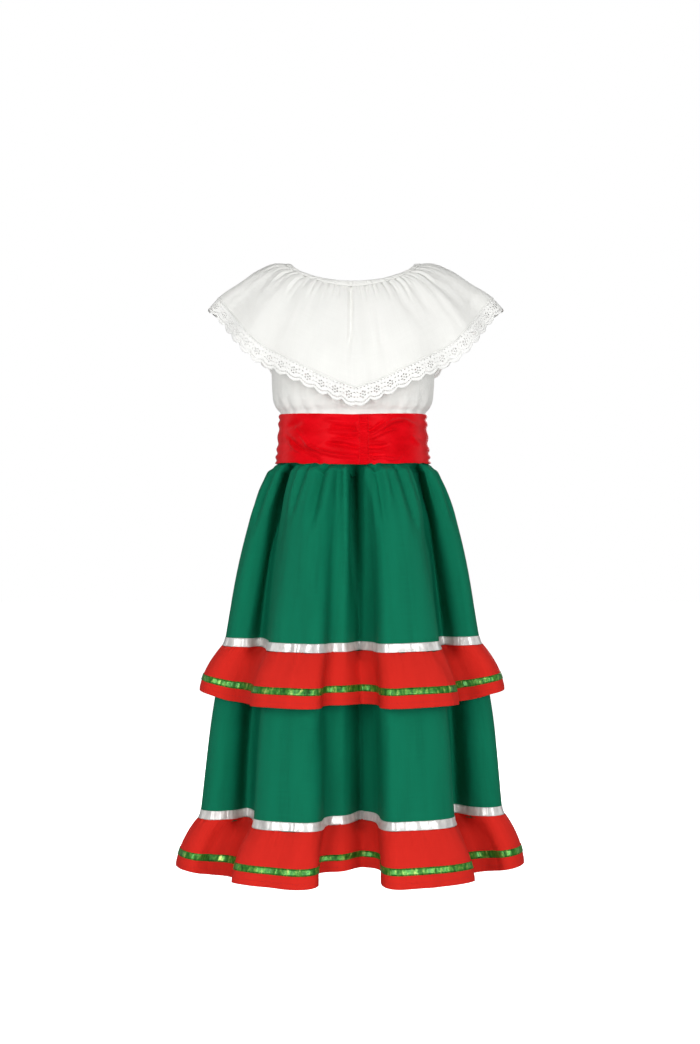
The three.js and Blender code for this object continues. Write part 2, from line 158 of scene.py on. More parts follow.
NECK = {"half_width": 77, "half_depth": 52, "shoulder": -3, "back": -29, "front": -37}
COLLAR_HEM = {"half_width": 188, "half_depth": 95, "shoulder": -62, "side": -3.5}
COLLAR_POINTS = {"back": (-191, 50), "front": (-197, 66)}
CASING_ENDS = 0.065
LACE_STARTS = 0.845
SCALLOPS = 56
SCALLOP_DEPTH = 0.028
COLLAR_WAVES = 14
COLLAR_WAVE = 3.6
COLLAR = Table(
    "along shoulder_out shoulder_drop back_out back_drop",
    (0, 0, 0, 0, 0), (0.15, 0.18, -0.04, 0.22, 0.11), (0.35, 0.4, 0.1, 0.5, 0.31),
    (0.6, 0.64, 0.4, 0.76, 0.58), (0.8, 0.84, 0.66, 0.9, 0.79), (1, 1, 1, 1, 1),
)
BODICE = Table(
    "z half_width half_depth",
    (-10, 75, 50.5), (-36, 76, 52), (-62, 87, 60), (-100, 99, 70), (-140, 103, 75), (-172, 101.5, 74),
    (-184, 97.5, 71.2), (-191, 91.6, 67), (-222, 89.8, 65.8),
)
BODICE_YOKE = 0.14  # the share of its height over which it reaches its own form
BODICE_UNDER_CASING = 2.25
ARMHOLE = Table(
    "down reach",
    (0, 52), (0.14, 47), (0.28, 48), (0.38, 55), (0.46, 68), (0.52, 81), (0.56, 90), (0.7, 90), (1, 90),
)
SASH = Table(
    "z half_width half_depth",
    (-193, 93.4, 68.9), (-208, 94.2, 69.8), (-225, 95.2, 70.9), (-240, 96.6, 72.2), (-255, 98.4, 74),
)
SASH_DIP = 3


def on_ellipse(degrees, half_width, half_depth):
    """Points of an ellipse, with their outward normals, their tangents and the distance for each radian."""
    turn = np.radians(degrees)
    s, c = np.sin(turn), np.cos(turn)
    zero = np.zeros_like(s)
    tangent = np.stack([c * half_width, -s * half_depth, zero], -1)
    speed = np.linalg.norm(tangent, axis=-1)
    tangent = tangent / speed[..., None]
    normal = np.stack([-tangent[..., 1], tangent[..., 0], zero], -1)
    return np.stack([s * half_width, c * half_depth, zero], -1), normal, tangent, speed


def ring(degrees, section):
    return on_ellipse(degrees, section["half_width"], section["half_depth"])[0]


def fold_at(degrees, fold, round_, speed):
    """How far the folds put the cloth outward, sideways along the section, and a flounce's hem up."""
    at, reach, early, curl, lift = FOLDS.T
    turn = (degrees - at[0]) % 360 + at[0]
    i = np.searchsorted(at, turn, side="right") - 1
    j = (i + 1) % len(at)
    span = (at[j] - at[i]) % 360
    share = (turn - at[i]) / span
    ease = (1 - np.cos(np.pi * share)) / 2
    out = mix(reach[i] * fold ** early[i], reach[j] * fold ** early[j], ease)
    folded = round_ * (curl[i] + curl[j]) * (reach[i] * reach[j] < 0)
    sideways = folded * speed * np.radians(span) / np.pi * np.sin(2 * np.pi * share)
    return out, sideways, mix(lift[i], lift[j], ease) * fold**2


def folded_section(degrees, section):
    point, normal, tangent, speed = on_ellipse(degrees, section["half_width"], section["half_depth"])
    out, sideways, _ = fold_at(degrees, section["fold"], section["round"], speed)
    return point + normal * out[..., None] + tangent * sideways[..., None]


def hang(degrees, x, z):
    below = -np.asarray(z, float)
    lean = SKIRT_LEAN * x * smoothstep(below, -HANG_STARTS, -LEAN_FULL)
    return -lean - SKIRT_SAG * cosine(degrees) ** 2 * smoothstep(below, -HANG_STARTS, -SAG_FULL)


def with_height(point, z):
    moved = point.copy()
    moved[..., 2] = z
    return moved


def skirt_form(degrees, z):
    point = folded_section(degrees, SKIRT.at(z))
    return with_height(point, z + hang(degrees, point[..., 0], z))


def unit(vectors):
    return vectors / np.linalg.norm(vectors, axis=-1, keepdims=True)


def normal_of(form, u, v, du, dv):
    along = form(u + du, v) - form(u - du, v)
    down = form(u, v + dv) - form(u, v - dv)
    return unit(np.cross(along, down))


def flounce_form(tier, degrees, down):
    flounce = FLOUNCES[tier]
    share = np.clip(down, 0, 1)
    top = RIBBON_HEIGHTS[tier] - WHITE_RIBBON_WIDTH / 2 - FLOUNCE_BELOW_RIBBON + 0 * degrees
    head = SKIRT.at(top)
    outward = normal_of(skirt_form, degrees, top, 0.25, -1)

    def point_at(amount):
        section = {
            "half_width": head["half_width"] + flounce["wider"] * amount,
            "half_depth": head["half_depth"] + flounce["deeper"] * amount,
            "fold": mix(head["fold"], flounce["fold"], amount),
            "round": mix(head["round"], flounce["round"], amount),
        }
        point = folded_section(degrees, section) + outward * FLOUNCE_STANDS_OFF
        point[..., 0] += flounce["side"] * amount
        return point

    start = point_at(0 * degrees)
    travel = np.linalg.norm(point_at(0 * degrees + 1) - start, axis=-1)
    side = np.abs(sine(degrees))
    beside_seam = side * cosine(3 * degrees) ** 2
    cut = flounce["depth"] * (1 - flounce["shorter"] * side**16 + flounce["longer"] * beside_seam)
    fall = np.sqrt(cut**2 - travel**2) * share**FLOUNCE_FALL
    lift = fold_at(degrees, flounce["fold"], 0, 0)[2]
    z = top - fall + share * lift + hang(degrees, start[..., 0], top)
    return with_height(point_at(1 - (1 - share) ** FLOUNCE_FLARE), z)


def collar_form(degrees, along):
    """The collar without its gathers: along is 0 at the neck edge and 1 at the lace's outer edge."""
    neck = ring(degrees, NECK)
    hem = ring(degrees, COLLAR_HEM)
    hem[..., 0] += COLLAR_HEM["side"]
    shoulder = sine(degrees) ** 2
    row = COLLAR.at(along)
    out = mix(row["back_out"], row["shoulder_out"], shoulder)
    drop = mix(row["back_drop"], row["shoulder_drop"], shoulder)
    back = cosine(degrees) >= 0
    turn = np.abs(wrapped(degrees))
    from_centre = np.where(turn <= 90, turn, 180 - turn)
    point_z = np.where(back, COLLAR_POINTS["back"][0], COLLAR_POINTS["front"][0])
    shoulder_arc = np.where(back, COLLAR_POINTS["back"][1], COLLAR_POINTS["front"][1])
    over_shoulder = smoothstep((90 - from_centre) / shoulder_arc, 0, 1)
    hem_height = mix(COLLAR_HEM["shoulder"], point_z, (1 - from_centre / 90) * over_shoulder)
    dip = np.abs(cosine(degrees)) ** 1.3
    neck_height = mix(NECK["shoulder"], np.where(back, NECK["back"], NECK["front"]), dip)
    return with_height(mix(neck, hem, out[..., None]), mix(neck_height, hem_height, drop))


def collar_waved(degrees, along):
    """The collar with the soft waves of its hem."""
    share = np.clip(along, 0, 1)
    uneven = 20 * sine(2 * degrees)
    waves = COLLAR_WAVE * share**1.6 * cosine(COLLAR_WAVES * degrees + uneven)
    normal = normal_of(collar_form, degrees, share, 0.5, 0.01)
    return collar_form(degrees, share) + normal * waves[..., None]


def quarter_shares(centre):
    """How far along a quarter of the collar's hem each degree from a centre line is, as a share."""
    degrees = centre + np.arange(91.0)
    hem = collar_form(degrees, np.ones(91))
    lengths = np.cumsum(np.r_[0, np.linalg.norm(np.diff(hem, axis=0), axis=1)])
    return lengths / lengths[-1]


HEM_SHARES = {0: quarter_shares(0), 180: quarter_shares(180)}


def along_hem(even):
    """The true angle where the collar's hem is as far along as an even angle says."""
    made = np.empty_like(even)
    for centre, shares in HEM_SHARES.items():
        turn = wrapped(even - centre)
        near = np.abs(turn) <= 90
        found = np.interp(np.abs(turn[near]) / 90, shares, np.arange(91.0))
        made[near] = centre + np.sign(turn[near]) * found
    return made


def lace_form(even, share):
    scallop = 1 - np.abs(sine(SCALLOPS * even / 2))
    return collar_waved(along_hem(even), mix(LACE_STARTS, 1 - SCALLOP_DEPTH * scallop, share))


def bodice_section(degrees, z):
    """The bodice at its own section, without the yoke's reach to the neck."""
    return with_height(ring(degrees, BODICE.at(z)), z)


def bodice_form(degrees, down):
    middle = CASING_ENDS / 2 + 0 * degrees
    normal = normal_of(collar_form, degrees, middle, 0.5, 0.01)
    seam = collar_form(degrees, middle) - normal * BODICE_UNDER_CASING
    z = mix(seam[..., 2], WAIST_SEAM, down)
    to_seam = (1 - np.clip(down / BODICE_YOKE, 0, 1)) ** 2
    return with_height(mix(bodice_section(degrees, z), seam, to_seam[..., None]), z)


def sash_form(degrees, z):
    return with_height(ring(degrees, SASH.at(z)), z - SASH_DIP * (1 - np.abs(sine(degrees))))


def groove(distance):
    """The cross-section of a pleat: a valley of depth 1 between two puffed shoulders."""
    return 0.34 * np.exp(-((np.abs(distance) - 1.9) ** 2) / 0.8) - np.exp(-(distance**2))


def ridge(distance):
    return np.exp(-(distance**2))


CREASE_STEPS = 26
CREASE_REACH = 3.4  # how many widths away a crease still has an effect


class Crease:
    """A soft line on the cloth, through points of its form. Its height fades towards each end."""

    def __init__(self, path, width, height, start, end, profile=ridge):
        self.path = Table("step u v", *[(k, u, v) for k, (u, v) in enumerate(path)])
        self.width = width
        self.height = height
        self.ends = (start, end)
        self.profile = profile

    def heights(self, points, form):
        at = self.path.at(np.linspace(0, self.path.data[-1, 0], CREASE_STEPS))
        line = form(at["u"], at["v"])
        reach = CREASE_REACH * self.width
        near = np.all((points > line.min(0) - reach) & (points < line.max(0) + reach), axis=-1)
        made = np.zeros(points.shape[:-1])
        if not near.any():
            return made
        near_points = points[near]
        best = np.full(len(near_points), 1e9)
        share = np.zeros(len(near_points))
        for k in range(len(line) - 1):
            step = line[k + 1] - line[k]
            along = np.clip((near_points - line[k]) @ step / (step @ step + 1e-9), 0, 1)
            distance = np.linalg.norm(near_points - line[k] - along[:, None] * step, axis=1)
            closer = distance < best
            best = np.where(closer, distance, best)
            share = np.where(closer, (k + along) / (len(line) - 1), share)
        start, end = self.ends
        fade = mix(start, 1, smoothstep(share, 0, 0.35)) * mix(1, end, smoothstep(share, 0.45, 1))
        made[near] = self.height * fade * self.profile(best / self.width)
        return made


def pleat(top, foot, width, depth):
    """A groove that opens at a seam and fades towards its foot. Each end is a point of the form."""
    middle = ((top[0] + foot[0]) / 2, (top[1] + foot[1]) / 2)
    return Crease([top, middle, foot], width, depth, 1, 0, groove)


def laid(creases, pleats=(), seam=0):
    """The creases and pleats of a panel, from their rows.

    A crease is its width, its height, the shares of it left at the start and at the end, then the path's
    points. A pleat is its angle at the seam, its angle and place at the foot, its width and its depth.
    """
    made = [Crease(list(zip(row[4::2], row[5::2])), *row[:4]) for row in creases]
    return made + [pleat((top, seam), (foot, end), width, depth) for top, foot, end, width, depth in pleats]


def puckers(along, spacing, turn=0):
    """Small uneven gathers, from -1 to 1, at places along a seam."""
    phase = 2 * np.pi * along / spacing
    uneven = 1.9 * np.sin(phase / 2.7 + turn) + 1.1 * np.sin(phase / 1.31 + 2.3 * turn)
    strength = 0.62 + 0.38 * np.sin(phase / 3.7 + 1.7 * turn)
    return strength * np.sin(phase + uneven)


def creased(form, u, v, steps, creases, more, outward=1, inward=1):
    """Points of a form, raised by more and by the shares of its creases that stand out and that go in."""
    points = form(u, v)
    height = np.zeros(points.shape[:-1]) + more
    for crease in creases:
        height = height + crease.heights(points, form)
    height = height * np.where(height > 0, outward, inward)
    return points + normal_of(form, u, v, *steps) * height[..., None]


def grid_normals(points, closed):
    if closed:
        along = np.roll(points, -1, axis=0) - np.roll(points, 1, axis=0)
    else:
        along = np.gradient(points, axis=0)
    return unit(np.cross(along, np.gradient(points, axis=1)))


def new_object(name, vertices, faces, uvs):
    """A smooth mesh from points in millimetres, with a UV map in metres of the cloth as cut."""
    mesh = bpy.data.meshes.new(name)
    mesh.from_pydata((vertices * MM).tolist(), [], faces.tolist())
    layer = mesh.uv_layers.new(name="cut")
    layer.data.foreach_set("uv", (uvs * MM).astype(np.float32).ravel())
    mesh.polygons.foreach_set("use_smooth", np.ones(len(mesh.polygons), bool))
    mesh.update()
    piece = bpy.data.objects.new(name, mesh)
    bpy.context.scene.collection.objects.link(piece)
    return piece


def thicken(piece, thickness):
    shell = piece.modifiers.new("cloth", "SOLIDIFY")
    shell.thickness = thickness * MM
    shell.offset = 0
    return piece


def cloth_grid(name, points, thickness, closed):
    """A sheet through a grid of points, whose first index runs round the body and the second runs down."""
    columns, rows = points.shape[:2]
    across = np.linalg.norm(np.roll(points, -1, axis=0) - points, axis=-1)
    widest = across[:, np.argmax(across[:-1].sum(0))]
    u = np.r_[0, np.cumsum(widest)]
    v = np.r_[0, np.cumsum(np.linalg.norm(np.diff(points, axis=1), axis=-1).mean(0))]
    spans = columns if closed else columns - 1
    i, j = [k.ravel() for k in np.meshgrid(np.arange(spans), np.arange(rows - 1), indexing="ij")]
    after = (i + 1) % columns
    faces = np.stack([i * rows + j, after * rows + j, after * rows + j + 1, i * rows + j + 1], -1)
    corners = [(u[i], v[j]), (u[i + 1], v[j]), (u[i + 1], v[j + 1]), (u[i], v[j + 1])]
    uvs = np.stack([np.stack(corner, -1) for corner in corners], axis=1)
    piece = new_object(name, points.reshape(-1, 3), faces, uvs)
    return thicken(piece, thickness) if thickness else piece


def panel_angles(centre, count):
    return centre + np.linspace(SEAM_DEGREES - 90, 90 - SEAM_DEGREES, count)


def meshed(u, v):
    return np.meshgrid(u, v, indexing="ij")


def levels(*stretches):
    """Heights from one named height to the next, each stretch with its own count of steps."""
    made = [np.linspace(a, b, count, endpoint=False) for a, b, count in stretches]
    return np.concatenate(made + [[stretches[-1][1]]])


def finish_piece(piece, material, node=None):
    piece.data.materials.append(material)
    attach(piece, "root")
    if node:
        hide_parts(node)
    return piece


def add_cloth(name, points, thickness, material, node, closed=False):
    return finish_piece(cloth_grid(name, points, thickness, closed), material, node)


# Stitches. Each is a small spindle of thread that lies on the cloth.
STITCH = 2.3
STITCH_PITCH = 3.6
THREAD = 0.24


def stitch_line(points, normals, pitch):
    """The vertices and faces of one row of stitches along a line on the cloth."""
    far = np.r_[0, np.cumsum(np.linalg.norm(np.diff(points, axis=0), axis=1))]
    middles = np.arange(pitch / 2, far[-1] - pitch / 2, pitch)

    def sample(values, at):
        return np.stack([np.interp(at, far, values[:, k]) for k in range(3)], -1)

    centre = sample(points, middles)
    out = unit(sample(normals, middles))
    ahead = unit(sample(points, middles + 0.5) - sample(points, middles - 0.5))
    side = np.cross(out, ahead)
    rings = []
    for along, radius in [(-0.5, 0.25), (-0.15, 1), (0.15, 1), (0.5, 0.25)]:
        for turn in (0, 90, 180, 270):
            c, s = math.cos(math.radians(turn)), math.sin(math.radians(turn))
            rings.append(centre + ahead * (along * STITCH) + (out * c + side * s) * (radius * THREAD))
    vertices = np.stack(rings, axis=1).reshape(-1, 3)
    one = [
        (ring * 4 + k, ring * 4 + (k + 1) % 4, ring * 4 + 4 + (k + 1) % 4, ring * 4 + 4 + k)
        for ring in range(3)
        for k in range(4)
    ]
    one += [(3, 2, 1, 0), (12, 13, 14, 15)]
    faces = (np.arange(len(middles)) * 16)[:, None, None] + np.array(one)[None]
    return vertices, faces.reshape(-1, 4)


def stitches(name, rows, material):
    vertices, faces, count = [], [], 0
    for points, normals, pitch in rows:
        more_vertices, more_faces = stitch_line(points, normals, pitch)
        vertices.append(more_vertices)
        faces.append(more_faces + count)
        count += len(more_vertices)
    faces = np.concatenate(faces)
    piece = new_object(name, np.concatenate(vertices), faces, np.zeros((len(faces), 4, 2)))
    return finish_piece(piece, material)


def seam_row(points, row, closed, offset, pitch=STITCH_PITCH):
    """A row of stitches along one row of a grid of points, raised from it."""
    normals = grid_normals(points, closed)
    line = points[:, row] + normals[:, row] * offset
    if closed:
        line = np.vstack([line, line[:1]])
        return line, np.vstack([normals[:, row], normals[:1, row]]), pitch
    return line, normals[:, row], pitch


class Finish:
    """A material whose nodes are added one call at a time."""

    def __init__(self, name, roughness, **constants):
        self.material = bpy.data.materials.new(name)
        self.material.use_nodes = True
        self.tree = self.material.node_tree
        self.shader = self.tree.nodes["Principled BSDF"]
        self.shader.inputs["Roughness"].default_value = roughness
        for socket, value in constants.items():
            self.shader.inputs[socket.replace("_", " ")].default_value = value

    def node(self, kind, settings=None, **inputs):
        made = self.tree.nodes.new(kind)
        for key, value in (settings or {}).items():
            setattr(made, key, value)
        for key, value in inputs.items():
            socket = made.inputs[int(key[1:])] if key[0] == "i" and key[1:].isdigit() else made.inputs[key]
            if isinstance(value, bpy.types.NodeSocket):
                self.tree.links.new(value, socket)
            else:
                socket.default_value = value
        return made

    def cut(self):
        """Places on the cloth as cut, in metres."""
        return self.node("ShaderNodeUVMap", {"uv_map": "cut"}).outputs[0]

    def math(self, operation, a, b=0.0):
        return self.node("ShaderNodeMath", {"operation": operation}, i0=a, i1=b).outputs[0]

    def blend(self, a, share, b):
        return self.math("ADD", self.math("MULTIPLY", a, share), self.math("MULTIPLY", b, 1 - share))

    def noise(self, vector, scale, detail=2.0, roughness=0.5, stretch=None):
        if stretch:
            vector = self.node("ShaderNodeMapping", Vector=vector, Scale=(*stretch, 1)).outputs[0]
        made = self.node("ShaderNodeTexNoise", Vector=vector, Scale=scale, Detail=detail, Roughness=roughness)
        return made.outputs["Fac"]

    def ranged(self, value, low, high):
        return self.node("ShaderNodeMapRange", Value=value, i3=low, i4=high).outputs[0]

    def shade(self, amount, *stops):
        """A colour ramp over an amount, with stops of (place, colour)."""
        ramp = self.node("ShaderNodeValToRGB", Fac=amount)
        elements = ramp.color_ramp.elements
        while len(elements) < len(stops):
            elements.new(0.5)
        for element, (place, colour) in zip(elements, stops):
            element.position = place
            element.color = (*colour, 1)
        return ramp.outputs[0]

    def bump(self, height, depth, **before):
        return self.node("ShaderNodeBump", Strength=1.0, Distance=depth, Height=height, **before).outputs[0]

    def out(self, **sockets):
        for name, value in sockets.items():
            self.tree.links.new(value, self.shader.inputs[name.replace("_", " ")])
        return self.material


def linear(red, green, blue):
    """A linear colour from an sRGB one of 0 to 255."""
    shares = (red / 255, green / 255, blue / 255)
    return tuple(((c + 0.055) / 1.055) ** 2.4 if c > 10 / 255 else c / 12.92 for c in shares)


def brighter(colour, by):
    return tuple(min(c * by, 1) for c in colour)


def weave(finish, cut, threads):
    """The height of a plain weave, from -1 to 1, with so many threads to a metre, and its threads' slubs."""
    axes = finish.node("ShaderNodeSeparateXYZ", i0=cut)
    phases = [finish.math("MULTIPLY", axes.outputs[axis], 2 * math.pi * threads) for axis in (0, 1)]
    waves = [finish.math("SINE", phase) for phase in phases]
    warp = finish.noise(cut, 1.0, stretch=(threads * 0.8, 25))
    weft = finish.noise(cut, 1.0, stretch=(25, threads * 0.8))
    return finish.math("MULTIPLY", *waves), finish.math("MULTIPLY", finish.math("ADD", warp, weft), 0.5)


def cotton_finish(name, colour, threads):
    finish = Finish(name, 0.82, Sheen_Weight=0.12, Sheen_Roughness=0.45, Specular_IOR_Level=0.22)
    cut = finish.cut()
    height, slubs = weave(finish, cut, threads)
    tone = finish.blend(slubs, 0.6, finish.noise(cut, 24.0, 3.0))
    shade = finish.shade(tone, (0.3, brighter(colour, 0.93)), (0.7, brighter(colour, 1.02)))
    crumple = finish.bump(finish.noise(cut, 95.0, 4.0, 0.55, (1, 0.45)), 0.00055)
    relief = finish.bump(finish.math("ADD", height, slubs), 0.00006, Normal=crumple)
    return finish.out(Base_Color=shade, Normal=relief)


def polyester_finish(name, colour, dark):
    finish = Finish(
        name, 0.62, Sheen_Weight=0.05, Sheen_Roughness=0.4, Sheen_Tint=(*brighter(colour, 1.6), 1),
        Specular_IOR_Level=0.1, Specular_Tint=(*mix(np.array(colour), 1, 0.5), 1),
    )
    cut = finish.cut()
    height, slubs = weave(finish, cut, 1500)
    tone = finish.blend(slubs, 0.5, finish.noise(cut, 60.0, 3.0, stretch=(1, 0.12)))
    shade = finish.shade(tone, (0.28, dark), (0.5, colour), (0.75, brighter(colour, 1.12)))
    crumple = finish.bump(finish.noise(cut, 70.0, 4.0, 0.5, (1, 0.3)), 0.0006)
    relief = finish.bump(finish.math("ADD", height, slubs), 0.00007, Normal=crumple)
    return finish.out(Base_Color=shade, Roughness=finish.ranged(slubs, 0.56, 0.7), Normal=relief)


def satin_finish(name, colour, dark, light):
    finish = Finish(name, 0.36, Specular_IOR_Level=0.16, Specular_Tint=(1, 0.12, 0.14, 1))
    cut = finish.cut()
    floats = finish.noise(cut, 1.0, 1.0, stretch=(2600, 220))
    tone = finish.blend(floats, 0.35, finish.noise(cut, 34.0, 3.0, stretch=(1, 2.2)))
    shade = finish.shade(tone, (0.3, dark), (0.52, colour), (0.74, light))
    crumple = finish.bump(finish.noise(cut, 60.0, 2.0, 0.45, (0.6, 1.5)), 0.0004)
    relief = finish.bump(floats, 0.00004, Normal=crumple)
    return finish.out(Base_Color=shade, Roughness=finish.ranged(floats, 0.27, 0.39), Normal=relief)


def silver_ribbon_finish(name):
    """Shiny ribbon that has crinkled across its width, with painted shade and painted reflections in its
    colour.
    """
    finish = Finish(name, 0.3, Metallic=0.35, Specular_IOR_Level=0.6)
    cut = finish.cut()
    crinkles = finish.noise(cut, 1.0, 3.0, stretch=(130, 70))
    patches = finish.noise(cut, 1.0, stretch=(48, 12))
    # Painted shade and painted reflections: the colour is grey in the crinkles' hollows and near white on
    # their tops and in bright patches.
    stops = [(0.34, linear(192, 190, 188)), (0.5, linear(216, 214, 211)), (0.64, linear(242, 241, 238))]
    shade = finish.shade(finish.blend(crinkles, 0.55, patches), *stops)
    bands = {"wave_type": "BANDS", "bands_direction": "Y"}
    threads = finish.node("ShaderNodeTexWave", bands, Vector=cut, Scale=700.0).outputs["Fac"]
    relief = finish.bump(threads, 0.00003, Normal=finish.bump(crinkles, 0.0007))
    return finish.out(Base_Color=shade, Roughness=finish.ranged(patches, 0.22, 0.42), Normal=relief)


def green_ribbon_finish(name):
    """Green ribbon with metal threads. Its colour holds painted glints, pale yellow-green patches here and
    there, and painted shade where its crinkles sink.
    """
    finish = Finish(name, 0.34, Metallic=0.45, Specular_IOR_Level=0.6)
    cut = finish.cut()
    glints = finish.noise(cut, 1.0, stretch=(330, 150))
    crinkles = finish.noise(cut, 1.0, 3.0, stretch=(130, 45))
    # Painted glints and painted shade: the colour runs from dark green in the crinkles' hollows to pale
    # yellow-green at the painted glints.
    places = (0.36, 0.47, 0.56, 0.66)
    colours = (linear(22, 84, 20), linear(44, 124, 36), linear(84, 150, 50), linear(176, 196, 104))
    shade = finish.shade(finish.blend(glints, 0.5, crinkles), *zip(places, colours))
    relief = finish.bump(glints, 0.0002, Normal=finish.bump(crinkles, 0.0008))
    return finish.out(Base_Color=shade, Roughness=finish.ranged(glints, 0.24, 0.46), Normal=relief)


def thread_finish(name, colour):
    finish = Finish(name, 0.6, Specular_IOR_Level=0.3)
    twist = finish.noise(finish.node("ShaderNodeTexCoord").outputs["Object"], 2600.0, 1.0)
    shade = finish.shade(twist, (0.3, brighter(colour, 0.8)), (0.7, colour))
    return finish.out(Base_Color=shade, Normal=finish.bump(twist, 0.00005))


COTTON_WHITE = cotton_finish("white_cotton", linear(247, 247, 243), 1900)
LACE_WHITE = cotton_finish("white_lace", linear(249, 249, 246), 1400)
GREEN_CLOTH = polyester_finish("green_cloth", linear(12, 114, 84), linear(9, 101, 74))
RED_CLOTH = polyester_finish("red_cloth", linear(214, 42, 33), linear(210, 40, 31))
RED_SATIN = satin_finish("red_satin", linear(216, 7, 19), linear(194, 4, 12), linear(230, 14, 27))
# The white ribbon's colour holds painted shade and painted reflections of its crinkles.
SILVER_RIBBON = silver_ribbon_finish("white_ribbon")
# The green ribbon's colour holds painted glints and painted shade of its crinkles.
GREEN_RIBBON_PAINTED_GLINTS = green_ribbon_finish("green_ribbon")
WHITE_THREAD = thread_finish("white_thread", linear(240, 240, 236))
RED_THREAD = thread_finish("red_thread", linear(196, 20, 24))
GREEN_THREAD = thread_finish("green_thread", linear(52, 118, 44))


# The deepest valleys run down the skirt and both flounces. Each is (angle, its width in degrees, depth).
VALLEYS = [(57, 5.5, 30), (-58, 5.5, 32), (-3, 4, 24), (158, 5, 9), (205, 5, 9)]


def valley_depth(degrees):
    return sum(deep * np.exp(-((wrapped(degrees - angle) / width) ** 2)) for angle, width, deep in VALLEYS)


def sunk(points, degrees, share):
    """Points with the deepest valleys let straight back into the folds."""
    depth = valley_depth(degrees)
    back = np.sign(cosine(degrees))
    return points - np.stack([0 * depth, back * depth * share, 0 * depth], -1)


# The skirt. Its pleats start under the sash, and its creases are long soft folds below them. Both are by
# angle and height.
SKIRT_TOP_OF_PLEATS = -257
SKIRT_PLEATS = {
    "back": [
        (-1, -1, -455, 6, 14), (10, 9, -318, 4.5, 3), (21, 23, -352, 6, 8), (27, 28, -308, 4, 2.2),
        (34, 37, -338, 5, 3.6), (45, 47, -322, 4.5, 3), (57, 57, -372, 7, 8), (66, 68, -330, 5, 3.6),
        (76, 78, -350, 6, 4.6), (86, 86, -322, 4.5, 3), (-15.5, -17, -346, 5.5, 6),
        (-24, -25, -312, 4, 2.6), (-32, -35, -356, 6, 4.8), (-41, -42, -316, 4, 2.6),
        (-50, -53, -378, 7, 8), (-60, -62, -344, 6, 5), (-69, -71, -330, 5, 5), (-80, -82, -346, 5.5, 4.2),
    ],
    "front": [
        (98, 97, -336, 5, 3.8), (109, 111, -368, 6.5, 5.4), (119, 120, -318, 4.5, 2.8),
        (130, 129, -344, 5.5, 4.2), (141, 143, -312, 4, 2.4), (153, 157, -386, 7, 6.4),
        (164, 165, -326, 4.5, 3.2), (173, 172, -348, 5.5, 4.4), (184, 185, -314, 4, 2.6),
        (192, 194, -334, 5, 3.6), (204, 206, -394, 7, 6.2), (215, 214, -322, 4.5, 2.8),
        (227, 228, -350, 5.5, 4.4), (238, 240, -316, 4, 2.6), (250, 252, -372, 6.5, 5.6),
        (261, 260, -328, 5, 3.4),
    ],
}
SKIRT_CREASES = {
    "back": [
        (15, 2.2, 0, 0, 24, -300, 22, -390, 23, -470), (13, -2.4, 0, 0, 44, -290, 43, -360, 40, -460),
        (14, 2, 0, 0, -24, -290, -26, -390, -24, -470), (13, -2.2, 0, 0, -42, -300, -40, -380, -36, -465),
        (14, -2.4, 0.5, 0.3, 9, -500, 14, -580, 20, -690), (12, 2, 0.4, 0.4, 34, -500, 35, -590, 38, -690),
        (14, 2, 0.5, 0.3, -22, -500, -24, -590, -27, -690), (11, -3, 0, 0.4, 66, -300, 64, -400, 60, -470),
        (11, -3, 0, 0.4, -66, -310, -64, -400, -60, -470),
    ],
    "front": [
        (14, 2.2, 0, 0, 170, -300, 172, -400, 170, -470), (13, -2.4, 0, 0, 146, -290, 145, -370, 142, -470),
        (13, -2, 0, 0, 195, -300, 196, -400, 194, -468), (14, 2, 0, 0, 216, -290, 218, -390, 221, -470),
        (14, -2.4, 0.5, 0.3, 180, -500, 176, -590, 171, -690),
        (12, 2, 0.4, 0.4, 127, -500, 130, -600, 134, -690),
        (13, -2.2, 0.5, 0.3, 236, -500, 233, -590, 230, -690),
    ],
}
ALL_SKIRT_CREASES = []
for side in PANELS:
    ALL_SKIRT_CREASES += laid(SKIRT_CREASES[side], SKIRT_PLEATS[side], SKIRT_TOP_OF_PLEATS)
WAIST_ARC = 92  # the waist's length for each radian
SKIRT_GATHER = 0.8  # how far the small gathers between the pleats stand out
SKIRT_GATHER_SPACING = 7
SKIRT_GATHER_REACH = 20
VALLEYS_START = -249  # under the sash
VALLEYS_OPEN_OVER = 18
PUFF_UNDER_SASH = 5  # how far the skirt swells out where it leaves the sash
PUFF_BELOW_EDGE = 4.5
PUFF_SPREAD = 4
UNPUFFED_DEPTH = 12  # a valley this deep isn't puffed


def skirt_cloth(degrees, z):
    along = np.radians(degrees) * WAIST_ARC
    below = np.clip(SKIRT_TOP_OF_PLEATS - z, 0, None)
    small = SKIRT_GATHER * puckers(along, SKIRT_GATHER_SPACING) * np.exp(-below / SKIRT_GATHER_REACH)
    outward = smoothstep(below, 2, 11)
    inward = smoothstep(below, 0, 3)
    turn = np.radians(degrees)
    undulating = 0.7 * np.sin(11 * turn + z / 70) * np.sin(z / 95 + 3 * turn)
    undulating += 0.4 * np.sin(23 * turn + z / 41)
    edge = SASH.data[0, 0] - SASH_DIP * (1 - np.abs(np.sin(turn)))
    from_puff = (edge - z - PUFF_BELOW_EDGE) / PUFF_SPREAD
    puffed = PUFF_UNDER_SASH * np.exp(-(from_puff**2)) * smoothstep(edge - z, 0.3, 2.3)
    more = small + undulating * smoothstep(below, 10, 90)
    points = creased(skirt_form, degrees, z, (0.25, -1), ALL_SKIRT_CREASES, more, outward, inward)
    points = sunk(points, degrees, smoothstep(VALLEYS_START - z, 0, VALLEYS_OPEN_OVER))
    puffed = puffed * (1 - smoothstep(valley_depth(degrees), 0, UNPUFFED_DEPTH))
    return points + on_ellipse(degrees, 1.4, 1)[1] * puffed[..., None]


